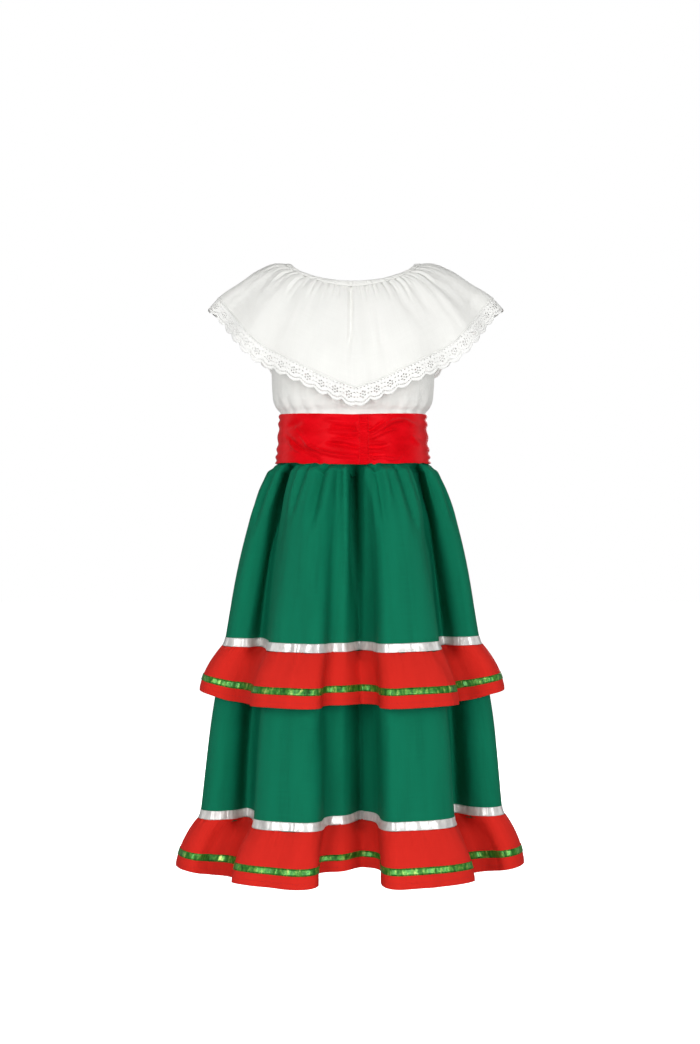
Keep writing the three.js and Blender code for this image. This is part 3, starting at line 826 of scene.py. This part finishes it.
def add_skirt():
    heights = levels((-222.6, -252, 3), (-252, -290, 24), (-290, -400, 36), (-400, SKIRT_FOOT, 44))
    for side, centre in PANELS.items():
        points = skirt_cloth(*meshed(panel_angles(centre, 216), heights))
        name = f"skirt_{side}"
        piece = add_cloth(f"{name}_cloth", points, SKIRT_CLOTH, GREEN_CLOTH, name)


# The flounces. Their creases are by angle and share of the depth, from the head to the hem.
FLOUNCE_CREASES = {
    "upper": [
        (8, -2, 0.8, 0, -2, 0, -2, 0.4, -1, 0.8), (12, 1.2, 0, 1, 22, 0.2, 23, 0.6, 24, 1),
        (9, -1.6, 0.6, 0.6, 40, 0, 42, 0.5, 44, 1), (8, -1.8, 0.4, 1, 70, 0.1, 73, 0.6, 75, 1),
        (12, 1, 0, 1, -20, 0.2, -22, 0.7, -22, 1), (8, -1.5, 0.8, 0, -34, 0, -36, 0.4, -37, 0.9),
        (8, -1.8, 0.4, 1, -70, 0.1, -72, 0.6, -74, 1), (8, 1.6, 0.2, 1, 96, 0, 99, 0.6, 101, 1),
        (9, -1.6, 0.6, 0.8, 122, 0, 124, 0.5, 125, 1), (9, 1.5, 0.1, 1, 146, 0.1, 148, 0.6, 149, 1),
        (8, -1.5, 0.5, 0.8, 170, 0, 171, 0.5, 173, 1), (9, 1.4, 0.1, 1, 192, 0.1, 190, 0.6, 189, 1),
        (9, -1.8, 0.5, 0.8, 216, 0, 215, 0.5, 213, 1), (8, 1.5, 0.1, 1, 240, 0.1, 240, 0.6, 238, 1),
        (8, -1.5, 0.5, 0.8, 262, 0, 263, 0.5, 264, 1),
    ],
    "lower": [
        (9, -1.2, 0.8, 0, 24, 0, 24, 0.4, 26, 0.9), (11, 1.6, 0, 1, 40, 0.1, 43, 0.6, 46, 1),
        (9, -2, 0.3, 1, 66, 0, 69, 0.5, 72, 1), (12, 1.2, 0, 1, -22, 0.2, -24, 0.6, -25, 1),
        (9, -1.6, 0.6, 0.8, -38, 0, -40, 0.5, -42, 1), (8, -2, 0.3, 1, -66, 0, -69, 0.5, -72, 1),
        (9, 1.8, 0.2, 1, 94, 0, 97, 0.6, 99, 1), (9, -2, 0.5, 1, 120, 0, 122, 0.5, 124, 1),
        (10, 1.6, 0.1, 1, 145, 0.1, 147, 0.6, 148, 1), (8, -1.8, 0.5, 1, 168, 0, 170, 0.5, 171, 1),
        (10, 1.6, 0.1, 1, 194, 0.1, 192, 0.6, 190, 1), (9, -2, 0.5, 1, 216, 0, 214, 0.5, 212, 1),
        (9, 1.6, 0.1, 1, 239, 0.1, 240, 0.6, 240, 1), (8, -1.8, 0.5, 1, 262, 0, 264, 0.5, 266, 1),
    ],
}
FLOUNCE_ARC = 160  # a hem's length for each radian
FLOUNCE_GATHER = 0.9  # at the head
FLOUNCE_GATHER_SPACING = 8
FLOUNCE_GATHER_REACH = 0.13
FLOUNCE_WAVE = 0.5
FLOUNCE_FLUTTER = 0.9  # at the hem
HEM_FOLD = 0.16  # how far the turned hem stands out
SUNK_AT_HEAD = 0.86  # a flounce follows this share of the skirt's deepest valleys
SUNK_BELOW = 0.35
FLOUNCE_HEM = 0.91  # where the hem's stitches are
FLOUNCE_TURNS = {"upper": 0.6, "lower": 2.1}


def flounce_cloth(tier, degrees, down):
    along = np.radians(degrees) * FLOUNCE_ARC
    turn = FLOUNCE_TURNS[tier]
    share = np.clip(down, 0, 1)
    head = FLOUNCE_GATHER * puckers(along, FLOUNCE_GATHER_SPACING, turn)
    head = head * np.exp(-share / FLOUNCE_GATHER_REACH)
    soft = FLOUNCE_WAVE * puckers(along, 34, turn) * share
    hem = FLOUNCE_FLUTTER * puckers(along, 47, turn + 1) * share**2
    folded = HEM_FOLD * smoothstep(share, FLOUNCE_HEM - 0.01, FLOUNCE_HEM + 0.01)

    def form(u, v):
        return flounce_form(tier, u, v)

    creases = laid(FLOUNCE_CREASES[tier])
    points = creased(form, degrees, share, (0.25, 0.001), creases, head + soft + hem + folded)
    return sunk(points, degrees, mix(SUNK_AT_HEAD, SUNK_BELOW, smoothstep(share, 0, 0.3)))


def add_flounces():
    shares = levels((0, 0.15, 8), (0.15, FLOUNCE_HEM - 0.02, 12), (FLOUNCE_HEM - 0.02, 1, 7))
    hem_row = int(np.argmin(np.abs(shares - FLOUNCE_HEM)))
    rows = []
    for tier in FLOUNCES:
        for side, centre in PANELS.items():
            points = flounce_cloth(tier, *meshed(panel_angles(centre, 340), shares))
            node = f"flounce_{tier}_{side}"
            piece = add_cloth(f"{node}_cloth", points, SKIRT_CLOTH, RED_CLOTH, node)
            rows.append(seam_row(points, hem_row, False, 0.32))
    stitches("flounce_hem_stitches", rows, RED_THREAD)


# Ribbons. A white one covers the head of each flounce, and a green one lies above its hem.
WHITE_RIBBON_ROWS = [(0, 0.55), (0.12, 0.6), (0.5, 0.95), (0.85, 1.9), (1, 2.5)]  # share down, how far out
GREEN_RIBBON_OUT = 0.6
RIBBONS = {  # material, its puckers' height, spacing and turn, and the rows that are stitched
    "white": (SILVER_RIBBON, 0.28, 9, 0, (1, 3)),
    "green": (GREEN_RIBBON_PAINTED_GLINTS, 0.2, 11, 1, (0, 4)),
}
RIBBON_FOOT = 0.8  # how much further down the white ribbon comes, to meet the flounce's head
RIBBON_STITCHES = (0.2, 4.2)  # how far out, and their pitch


def add_ribbon(colour, tier, around, points, out):
    """A ribbon that lies so far out from points of the cloth under it. Its rows of stitches are returned."""
    material, height, spacing, turn, stitched = RIBBONS[colour]
    pucker = height * puckers(np.radians(around) * FLOUNCE_ARC, spacing, FLOUNCE_TURNS[tier] + turn)
    points = points + grid_normals(points, True) * (out + pucker)[..., None]
    name = f"{colour}_ribbon"
    node = f"ribbon_{colour}_{tier}"
    piece = add_cloth(f"{name}_{tier}", points, RIBBON, material, node, closed=True)
    return [seam_row(points, row, True, *RIBBON_STITCHES) for row in stitched]


def add_ribbons():
    degrees = np.linspace(-90, 270, 860, endpoint=False)
    share, out = np.array(WHITE_RIBBON_ROWS).T
    white_rows = []
    green_rows = []
    for tier, middle in RIBBON_HEIGHTS.items():
        heights = middle + WHITE_RIBBON_WIDTH / 2 - (WHITE_RIBBON_WIDTH + RIBBON_FOOT) * share
        around, z = meshed(degrees, heights)
        white_rows += add_ribbon("white", tier, around, skirt_cloth(around, z), out)
        around, down = meshed(degrees, np.linspace(*GREEN_RIBBON, 5))
        points = flounce_cloth(tier, around, down)
        green_rows += add_ribbon("green", tier, around, points, GREEN_RIBBON_OUT)
    stitches("white_ribbon_stitches", white_rows, WHITE_THREAD)
    stitches("green_ribbon_stitches", green_rows, GREEN_THREAD)


# The collar. Its gathers start at the casing and its folds are long and soft. Both are by angle and share
# of the fall.
COLLAR_GATHERS = {
    "back": [
        (2, 2, 0.33, 2.6, 1.5), (6, 5, 0.24, 1.6, 1), (12, 10, 0.27, 1.9, 1.5), (16, 14, 0.25, 1.5, 1),
        (21, 18, 0.3, 1.8, 1.2), (26, 24, 0.24, 1.5, 0.9), (31, 27, 0.36, 2, 1.4), (37, 34, 0.26, 1.6, 1),
        (44, 40, 0.44, 2.2, 1.5), (51, 49, 0.28, 1.7, 1.1), (58, 54, 0.4, 2.2, 1.4),
        (66, 64, 0.28, 1.7, 1.1), (74, 72, 0.38, 2.1, 1.4), (83, 82, 0.3, 1.8, 1.2), (-6, -5, 0.23, 1.6, 1),
        (-10, -8, 0.27, 1.9, 1.4), (-16, -14, 0.25, 1.6, 1.1), (-19, -17, 0.22, 1.3, 0.8),
        (-24, -22, 0.31, 1.9, 1.3), (-30, -28, 0.26, 1.5, 1), (-37, -32, 0.38, 2.1, 1.5),
        (-42, -37, 0.3, 1.7, 1.1), (-49, -47, 0.26, 1.5, 0.9), (-56, -53, 0.42, 2.2, 1.5),
        (-64, -62, 0.28, 1.7, 1.1), (-72, -70, 0.36, 2, 1.3), (-81, -80, 0.28, 1.7, 1.1),
    ],
    "front": [
        (97, 98, 0.34, 2, 1.3), (106, 108, 0.28, 1.7, 1.1), (114, 117, 0.4, 2.2, 1.5),
        (122, 124, 0.27, 1.6, 1), (129, 132, 0.36, 2, 1.4), (137, 139, 0.25, 1.6, 1),
        (143, 147, 0.33, 1.9, 1.3), (150, 152, 0.25, 1.5, 0.9), (156, 159, 0.31, 1.9, 1.3),
        (163, 165, 0.24, 1.5, 1), (169, 171, 0.28, 1.8, 1.2), (176, 177, 0.35, 2.3, 1.5),
        (183, 182, 0.25, 1.6, 1), (190, 188, 0.29, 1.9, 1.3), (197, 195, 0.24, 1.5, 0.9),
        (203, 200, 0.32, 1.9, 1.3), (211, 208, 0.26, 1.6, 1), (218, 214, 0.38, 2.1, 1.4),
        (226, 223, 0.27, 1.7, 1.1), (235, 232, 0.41, 2.2, 1.5), (244, 242, 0.28, 1.7, 1),
        (253, 251, 0.36, 2, 1.3), (262, 261, 0.3, 1.8, 1.2),
    ],
}
COLLAR_FOLDS = {
    "back": [
        (3, -3.6, 0.8, 0.1, 2, 0.12, 2, 0.4, 3, 0.55, 4, 0.74),
        (4, 1.3, 0, 0, -2, 0.34, -2, 0.55, -1, 0.74), (6, -1.5, 0.6, 0, 39, 0.14, 38, 0.3, 35, 0.62),
        (5, -1.3, 0.6, 0, 25, 0.16, 24, 0.4, 24, 0.62), (5.5, -1.4, 0, 0, 15, 0.4, 17, 0.56, 18, 0.72),
        (5, -1.3, 0.6, 0, 57, 0.12, 51, 0.3, 47, 0.48), (6, -1.4, 0.3, 0, 66, 0.2, 60, 0.42, 57, 0.62),
        (9, -2, 0, 0, 80, 0.62, 62, 0.66, 49, 0.75, 37, 0.79),
        (6, -1.5, 0.6, 0, -30, 0.12, -28, 0.32, -34, 0.68),
        (5.5, -1.3, 0.6, 0, -42, 0.14, -39, 0.4, -42, 0.64),
        (5.5, -1.2, 0, 0, -12, 0.36, -12, 0.54, -14, 0.72),
        (6.5, -1.6, 0.3, 0, -50, 0.2, -56, 0.52, -54, 0.77),
        (9, -2, 0, 0, -82, 0.56, -72, 0.66, -58, 0.76, -46, 0.82),
    ],
    "front": [
        (4, -2, 0.7, 0, 176, 0.12, 177, 0.4, 176, 0.72),
        (5.5, -1.4, 0.6, 0, 153, 0.16, 150, 0.4, 152, 0.66),
        (6, -1.5, 0.6, 0, 137, 0.16, 139, 0.42, 142, 0.66),
        (6, -1.5, 0.4, 0, 121, 0.2, 124, 0.46, 123, 0.7),
        (9, -2, 0, 0, 100, 0.6, 116, 0.67, 130, 0.76, 141, 0.8),
        (5.5, -1.3, 0, 0, 192, 0.3, 191, 0.5, 194, 0.7),
        (5.5, -1.4, 0.6, 0, 206, 0.14, 209, 0.4, 205, 0.66),
        (6, -1.5, 0.6, 0, 222, 0.16, 220, 0.42, 223, 0.66),
        (6, -1.4, 0.4, 0, 239, 0.2, 236, 0.46, 233, 0.7),
        (9, -2, 0, 0, 259, 0.58, 245, 0.66, 232, 0.75, 221, 0.8),
    ],
}
ALL_COLLAR_FOLDS = []
for side in PANELS:
    ALL_COLLAR_FOLDS += laid(COLLAR_FOLDS[side], COLLAR_GATHERS[side], CASING_ENDS)
NECK_ARC = 66  # the neck edge's length for each radian, on average
NECK_GATHER = 0.55
NECK_GATHER_SPACING = 4.6
NECK_GATHER_REACH = 0.09
COLLAR_RIPPLE = 0.5
COLLAR_OVER_LACE = 0.65  # how far its hem stands off the lace
COLLAR_LAP = 0.007  # how far its hem lies over the lace


def collar_cloth(degrees, along):
    around = np.radians(degrees) * NECK_ARC
    gathers = NECK_GATHER * puckers(around, NECK_GATHER_SPACING, 0.4)
    near_neck = np.exp(-np.clip(along - CASING_ENDS, 0, None) / NECK_GATHER_REACH)
    wide = COLLAR_RIPPLE * puckers(around, 17, 1.3) * smoothstep(along, 0.1, 0.4)
    lap = COLLAR_OVER_LACE * smoothstep(along, LACE_STARTS - 0.03, LACE_STARTS)
    more = gathers * near_neck + wide + lap
    return creased(collar_waved, degrees, along, (0.5, 0.01), ALL_COLLAR_FOLDS, more)


def add_collar():
    shares = levels((CASING_ENDS + 0.001, 0.25, 26), (0.25, 0.6, 22), (0.6, LACE_STARTS + COLLAR_LAP, 16))
    rows = []
    for side, centre in PANELS.items():
        degrees = along_hem(panel_angles(centre, 290))
        points = collar_cloth(*meshed(degrees, shares))
        name = f"collar_{side}"
        piece = add_cloth(f"{name}_cloth", points, COTTON, COTTON_WHITE, name)
        rows += [seam_row(points, row, False, 0.3, 3.0) for row in (1, -2)]
    stitches("collar_stitches", rows, WHITE_THREAD)


# The neck's casing, gathered on its elastic. Its section is a rounded band.
CASING_SECTION = 12
CASING_RUCHE = 0.9


def add_neckband():
    degrees, section = meshed(
        np.linspace(-90, 270, 620, endpoint=False), np.arange(CASING_SECTION) * 360 / CASING_SECTION
    )
    c, s = cosine(section), sine(section)
    along = CASING_ENDS / 2 * (1 - np.sign(c) * np.abs(c) ** 0.6)
    out = CASING / 2 * np.sign(s) * np.abs(s) ** 0.7
    ruche = CASING_RUCHE * puckers(np.radians(degrees) * NECK_ARC, NECK_GATHER_SPACING, 0.4) * np.abs(s)
    normal = normal_of(collar_form, degrees, along, 0.5, 0.01)
    points = collar_form(degrees, along) + normal * (out + ruche)[..., None]
    points = np.concatenate([points, points[:, :1]], axis=1)
    piece = add_cloth("neck_casing", points, None, COTTON_WHITE, "neckband", closed=True)


# The lace. One scallop is a cell with round eyelets, drawn in millimetres: across, down, radius.
CELL_WIDTH = 17.9
CELL_HEIGHT = 23.0
EYELET_SIDES = 8
EYELET_RIM = 0.75
FLOWER_CENTRE = (CELL_WIDTH / 2, 10.6)
FLOWER_PETALS = 6
FLOWER_RADIUS = 3.3
RAISED = 0.12


def eyelets():
    """The holes of one cell: a ladder under the seam, a flower, four leaves and a fan along the scallop."""
    made = [((k + 0.5) * CELL_WIDTH / 4, 2.6, 0.75) for k in range(4)]
    made.append((*FLOWER_CENTRE, 0.85))
    for k in range(FLOWER_PETALS):
        turn = math.radians(360 * k / FLOWER_PETALS)
        x = FLOWER_CENTRE[0] + FLOWER_RADIUS * math.sin(turn)
        made.append((x, FLOWER_CENTRE[1] + FLOWER_RADIUS * math.cos(turn), 0.95))
    made += [(x, y, 0.8) for x in (2.1, CELL_WIDTH - 2.1) for y in (7.4, 12.9)]
    made += [((k + 0.5) * CELL_WIDTH / 7, 18.6, 0.85) for k in range(7)]
    return made


def lace_cell():
    """One cell as (points, heights, triangles), with its eyelets cut out and their rims raised."""
    points, heights, edges = [], [], []
    holes = eyelets()
    for x, y, radius in holes:
        for ring, height in ((radius, RAISED), (radius + EYELET_RIM, 0)):
            first = len(points)
            for k in range(EYELET_SIDES):
                turn = 2 * math.pi * (k + 0.5) / EYELET_SIDES
                points.append((x + ring * math.sin(turn), y + ring * math.cos(turn)))
                heights.append(height)
                if ring == radius:
                    edges.append((first + k, first + (k + 1) % EYELET_SIDES))
    border = [(x, y) for y in np.linspace(0, CELL_HEIGHT, 11) for x in (0, CELL_WIDTH)]
    border += [(x, y) for x in np.linspace(0, CELL_WIDTH, 13)[1:-1] for y in (0, CELL_HEIGHT)]
    fill = [
        (x, y)
        for x in np.linspace(0, CELL_WIDTH, 9)[1:-1]
        for y in np.linspace(0, CELL_HEIGHT, 11)[1:-1]
        if all(math.hypot(x - a, y - b) > radius + EYELET_RIM + 0.5 for a, b, radius in holes)
    ]
    points += border + fill
    heights += [0] * (len(border) + len(fill))
    cut = delaunay_2d_cdt([Vector(p) for p in points], edges, [], 0, 1e-6)
    made = np.array([tuple(p) for p in cut[0]])
    triangles = np.array(cut[2])
    centres = made[triangles].mean(1)
    inside = np.zeros(len(triangles), bool)
    for x, y, radius in holes:
        inside |= np.hypot(centres[:, 0] - x, centres[:, 1] - y) < radius * math.cos(math.pi / EYELET_SIDES)
    raised = np.zeros(len(made))
    for k, sources in enumerate(cut[3]):
        raised[k] = heights[sources[0]] if sources else 0
    return made, raised, triangles[~inside]


def add_lace():
    cell, raised, triangles = lace_cell()
    half = SCALLOPS // 2
    for side, centre in PANELS.items():
        across = np.concatenate([cell[:, 0] + k * CELL_WIDTH for k in range(half)])
        down = np.tile(cell[:, 1], half)
        height = np.tile(raised, half)
        faces = np.concatenate([triangles + k * len(cell) for k in range(half)])
        key = np.round(np.stack([across, down], -1), 3)
        _, first, place = np.unique(key, axis=0, return_index=True, return_inverse=True)
        faces = place.ravel()[faces]
        across, down, height = across[first], down[first], height[first]
        share = across / (half * CELL_WIDTH)
        even = centre - 90 + SEAM_DEGREES + share * (180 - 2 * SEAM_DEGREES)
        amount = down / CELL_HEIGHT
        points = lace_form(even, amount)
        thick_edge = RAISED * smoothstep(amount, 0.95, 0.99)
        normal = normal_of(lace_form, even, amount, 0.3, 0.02)
        points = points + normal * (height + thick_edge)[:, None]
        uvs = np.stack([across, down], -1)[faces]
        a, b, c = (points[faces[:, k]] for k in range(3))
        outward = np.cross(b - a, c - a)
        turned = np.einsum("ij,ij->i", outward, normal[faces[:, 0]]) < 0
        faces[turned] = faces[turned][:, ::-1]
        uvs[turned] = uvs[turned][:, ::-1]
        piece = thicken(new_object(f"lace_{side}_edging", points, faces, uvs), LACE)
        finish_piece(piece, LACE_WHITE, f"lace_{side}")


# The bodice. Gathers rise from the sash, as (angle, top height, width, depth).
BODICE_GATHERS = {
    "back": [
        (-74, -168, 5, 1.6), (-60, -158, 6, 2.2), (-47, -170, 5, 1.6), (-35, -150, 6, 2.2),
        (-22, -164, 5, 1.5), (-9, -148, 6.5, 2.2), (4, -166, 5, 1.5), (15, -152, 6, 2), (29, -168, 5, 1.6),
        (41, -152, 6, 2.2), (55, -166, 5, 1.6), (70, -158, 6, 2),
    ],
    "front": [
        (107, -160, 6, 2), (121, -168, 5, 1.5), (134, -152, 6, 2.2), (148, -166, 5, 1.6), (162, -150, 6, 2),
        (176, -168, 5, 1.5), (189, -154, 6, 2.2), (203, -166, 5, 1.6), (217, -152, 6, 2),
        (231, -168, 5, 1.5), (245, -158, 6, 2.1), (258, -168, 5, 1.5),
    ],
}
BODICE_SASH_TOP = -196
BODICE_ARC = 88
BODICE_GATHER_SHARE = 0.5  # of the gathers' depth
BODICE_SMALL_GATHER = 0.3
BODICE_SMALL_REACH = 16
ARMHOLE_ENDS = 0.58  # share of the height
ARMHOLE_HEM = 0.3


def add_bodice():
    shares = levels((0, 0.3, 16), (0.3, 0.6, 22), (0.6, 1, 34))
    rows = []
    for side, centre in PANELS.items():
        across, down = meshed(np.linspace(-1, 1, 116), shares)
        reach = ARMHOLE.at(down)["reach"] - SEAM_DEGREES
        degrees = centre + across * reach
        points = bodice_form(degrees, down)
        normal = grid_normals(points, False)
        height = np.zeros(degrees.shape)
        for angle, top, width, depth in BODICE_GATHERS[side]:
            gather = pleat((angle, BODICE_SASH_TOP), (angle * 0.98 + centre * 0.02, top), width, depth)
            height += BODICE_GATHER_SHARE * gather.heights(points, bodice_section)
        small = BODICE_SMALL_GATHER * puckers(np.radians(degrees) * BODICE_ARC, 8, 0.9)
        height += small * np.exp(-np.abs(points[..., 2] - BODICE_SASH_TOP) / BODICE_SMALL_REACH)
        height += ARMHOLE_HEM * smoothstep(np.abs(across), 0.955, 0.97) * (down < ARMHOLE_ENDS)
        points = points + normal * height[..., None]
        name = f"bodice_{side}"
        piece = add_cloth(f"{name}_cloth", points, COTTON, COTTON_WHITE, name)
        hemmed = shares < ARMHOLE_ENDS - 0.02
        for column in (3, -4):
            outward = normal[column, hemmed]
            rows.append((points[column, hemmed] + outward * 0.3, outward, 3.0))
    stitches("armhole_stitches", rows, WHITE_THREAD)


# The sash. The back's creases are by distance from the centre back towards the wearer's left, and height.
# The front's are by angle and height.
SASH_HALF_WIDTH = 95.5
SASH_RELIEF = 1.35  # the back's creases stand out by this factor
BACK_SASH_CREASES = [
    (2.6, 2.6, 0.2, 0.7, 72, -212, 62, -224, 53, -234, 40, -240, 24, -243.5, -4, -246),
    (2.2, 1.8, 0, 0, 83, -221, 74, -235, 56, -243, 27, -246),
    (2.6, -1.2, 0, 0, 78, -206, 66, -218, 56, -229, 42, -235),
    (3.4, -2, 0.2, 0.6, 86, -217, 66, -236, 43, -251), (2.2, -1.8, 0, 1, 30, -208, 14, -209, -2, -210),
    (2, -1.6, 0, 1, 22, -220, 10, -221, -3, -222), (2.2, -2, 0, 1, 38, -229, 18, -230, -4, -234),
    (3, 1.1, 0, 0.6, 40, -200, 18, -202, -3, -204), (2.4, 1.4, 0, 0.8, 34, -215, 16, -215.5, -3, -216),
    (2, 1.2, 0, 0.8, 30, -225, 14, -226, -3, -228),
    (2.6, 2.8, 0.9, 0, -22, -219, -36, -211, -49, -203, -62, -201, -74, -205, -88, -210),
    (2, 1.7, 0.9, 0, -21, -224, -44, -214, -58, -211), (2, -1.6, 0.9, 0, -21, -214, -34, -206, -46, -199),
    (1.9, 1.6, 0.9, 0, -22, -229, -43, -230), (2, -1.8, 0.9, 0, -21, -234, -34, -234, -48, -231),
    (1.9, 1.5, 0.9, 0, -21, -239, -34, -240, -44, -241.5),
    (1.8, -1.4, 0.9, 0, -21, -244, -34, -246, -44, -247),
    (2, 2, 0.9, 0, -22, -248, -36, -247, -46, -250, -56, -247.5, -64, -243),
    (4, 1.4, 0, 0, -70, -222, -80, -228, -90, -234), (4, -1.4, 0, 0, 60, -203, 76, -207, 90, -214),
]
FRONT_SASH_CREASES = [
    (4.5, 1.8, 0, 0, 104, -205, 128, -214, 158, -217, 188, -213),
    (4, 1.9, 0, 0, 118, -232, 150, -238, 182, -236, 214, -239),
    (4.5, 1.7, 0, 0, 170, -222, 202, -226, 234, -221, 256, -212),
    (4, -1.5, 0, 0, 112, -221, 140, -226, 172, -228), (3.5, -1.3, 0, 0, 196, -206, 224, -208, 252, -204),
    (3, 1.4, 0, 0, 222, -240, 240, -243, 258, -238), (2.6, 1.2, 0, 0, 132, -247, 160, -249, 188, -246),
]


def back_sash_crease(row):
    crease = list(row)
    crease[1] = SASH_RELIEF * row[1]
    for k in range(4, len(row), 2):
        crease[k] = math.degrees(math.asin(max(-0.99, min(row[k] / SASH_HALF_WIDTH, 0.99))))
    return crease


SASH_CREASES = {
    "back": laid(map(back_sash_crease, BACK_SASH_CREASES)),
    "front": laid(FRONT_SASH_CREASES),
}
CHANNEL = (-7.6, -19)  # the two rows of stitches of the back's ruched channel, as the creases' distances
CHANNEL_RUCHE = 0.8
CHANNEL_RUCHES = 17
CHANNEL_RAISED = 0.7
SEAM_SINKS = 0.9  # along the channel's stitches
CHANNEL_PULL = 0.55  # the folds that its stitches draw in the cloth beside it
SIDE_RUCHE = 0.9  # at the side seams
SASH_DRAPE = 0.15
SASH_EDGE_FOLD = 0.25
SASH_EDGE_WAVE = 0.9


def sash_cloth(degrees, z, creases):
    across = SASH_HALF_WIDTH * sine(degrees)
    back = cosine(degrees) > 0
    side = np.abs(sine(degrees))
    top, bottom = SASH.data[-1, 0], SASH.data[0, 0]
    down = (z - top) / (bottom - top)
    half = (CHANNEL[0] - CHANNEL[1]) / 2
    from_middle = np.abs(across - sum(CHANNEL) / 2)
    inside = back * smoothstep(half + 0.4 - from_middle, 0, 1.2)
    near = back * np.exp(-np.clip(from_middle - half, 0, None) / 7)
    phase = 2 * np.pi * CHANNEL_RUCHES * (down + 0.012 * np.sin(17 * down)) + across * 0.09
    ruches = CHANNEL_RUCHE * np.sin(phase) * (0.75 + 0.25 * np.sin(9 * down)) * inside
    pulled = CHANNEL_PULL * np.sin(phase * 0.5 + 1) * near * (1 - inside)
    stitched = sum(-SEAM_SINKS * back * np.exp(-(((across - line) / 0.8) ** 2)) for line in CHANNEL)
    side_ruche = SIDE_RUCHE * side**26 * np.sin(2 * np.pi * (5 * down + 0.3 * np.sin(7 * down)))
    drape = SASH_DRAPE * puckers(z + across * 0.3, 15, 0.5) * (1 - inside)
    hem = -SASH_EDGE_FOLD * (np.exp(-down / 0.02) + np.exp(-(1 - down) / 0.02))
    more = ruches + pulled + stitched + CHANNEL_RAISED * inside + side_ruche + drape + hem
    points = creased(sash_form, degrees, z, (0.25, -0.6), creases, more)
    wave = SASH_EDGE_WAVE * puckers(across, 23, 2.2) * smoothstep(down, 0.6, 1)
    points[..., 2] += wave
    return points


def add_sash():
    rows = []
    for side, centre in PANELS.items():
        back = side == "back"
        degrees = panel_angles(centre, 300 if back else 200)
        heights = levels((-193, -255, 78 if back else 50))
        points = sash_cloth(*meshed(degrees, heights), SASH_CREASES[side])
        piece = add_cloth(f"sash_{side}_cloth", points, SATIN, RED_SATIN, f"sash_{side}")
        if back:
            normals = grid_normals(points, False)
            for line in CHANNEL:
                column = int(np.argmin(np.abs(SASH_HALF_WIDTH * sine(degrees) - line)))
                rows.append((points[column] + normals[column] * 0.25, normals[column], 2.8))
    stitches("sash_channel_stitches", rows, RED_THREAD)


def add_camera():
    data = bpy.data.cameras.new("camera")
    data.sensor_width = SENSOR
    data.lens = LENS
    camera = bpy.data.objects.new("camera", data)
    camera.location = EYE
    camera.rotation_euler = (math.radians(90), 0, math.radians(180))
    bpy.context.scene.collection.objects.link(camera)
    bpy.context.scene.camera = camera


# Lamps as (name, place, size, power), in metres and watts, and the point that they all face.
LAMPS = [
    ("key_left", (1.22, 2.4, -0.1), (1.0, 1.6), 41),
    ("key_right", (-1.22, 2.4, -0.2), (1.0, 1.6), 41),
    ("rim_left", (2.4, -0.6, 0.2), (1.0, 2.0), 8),
    ("rim_right", (-2.4, -0.6, 0.2), (1.0, 2.0), 8),
    ("far_side", (-0.4, -2.6, 0.6), (1.6, 1.8), 40),
]
LAMPS_FACE = (0, 0, -0.35)
WORLD_LIGHT = 0.22
FLOOR_GLOW = 0.95
FLOOR_RADIUS = 12
FLOOR_CORNERS = 64


def add_light(name, location, size, power):
    data = bpy.data.lights.new(name, "AREA")
    data.shape = "RECTANGLE"
    data.size, data.size_y = size
    data.energy = power
    lamp = bpy.data.objects.new(name, data)
    lamp.location = location
    lamp.rotation_euler = (Vector(LAMPS_FACE) - Vector(location)).to_track_quat("-Z", "Y").to_euler()
    bpy.context.scene.collection.objects.link(lamp)


def add_studio():
    bpy.context.scene.view_settings.view_transform = "Standard"
    world = bpy.data.worlds.new("studio")
    bpy.context.scene.world = world
    world.use_nodes = True
    background = world.node_tree.nodes["Background"]
    background.inputs["Color"].default_value = (1, 1, 1, 1)
    path = world.node_tree.nodes.new("ShaderNodeLightPath")
    strength = world.node_tree.nodes.new("ShaderNodeMapRange")
    strength.inputs["To Min"].default_value = WORLD_LIGHT
    strength.inputs["To Max"].default_value = 1.0
    world.node_tree.links.new(path.outputs["Is Camera Ray"], strength.inputs["Value"])
    world.node_tree.links.new(strength.outputs[0], background.inputs["Strength"])
    for lamp in LAMPS:
        add_light(*lamp)

    floor_mesh = bpy.data.meshes.new("floor")
    turns = [2 * math.pi * k / FLOOR_CORNERS for k in range(FLOOR_CORNERS)]
    corners = [(FLOOR_RADIUS * math.cos(t), FLOOR_RADIUS * math.sin(t), FLOOR) for t in turns]
    floor_mesh.from_pydata(corners, [], [list(range(FLOOR_CORNERS))])
    floor = bpy.data.objects.new("floor", floor_mesh)
    paint = Finish("pale_floor", 0.9, Base_Color=(0.94, 0.94, 0.94, 1), Specular_IOR_Level=0)
    paint.shader.inputs["Emission Color"].default_value = (1, 1, 1, 1)
    paint.shader.inputs["Emission Strength"].default_value = FLOOR_GLOW
    floor.data.materials.append(paint.material)
    floor.visible_diffuse = False
    floor.visible_glossy = False
    bpy.context.scene.collection.objects.link(floor)


add_camera()
add_bodice()
add_collar()
add_neckband()
add_lace()
add_sash()
add_skirt()
add_flounces()
add_ribbons()
add_studio()
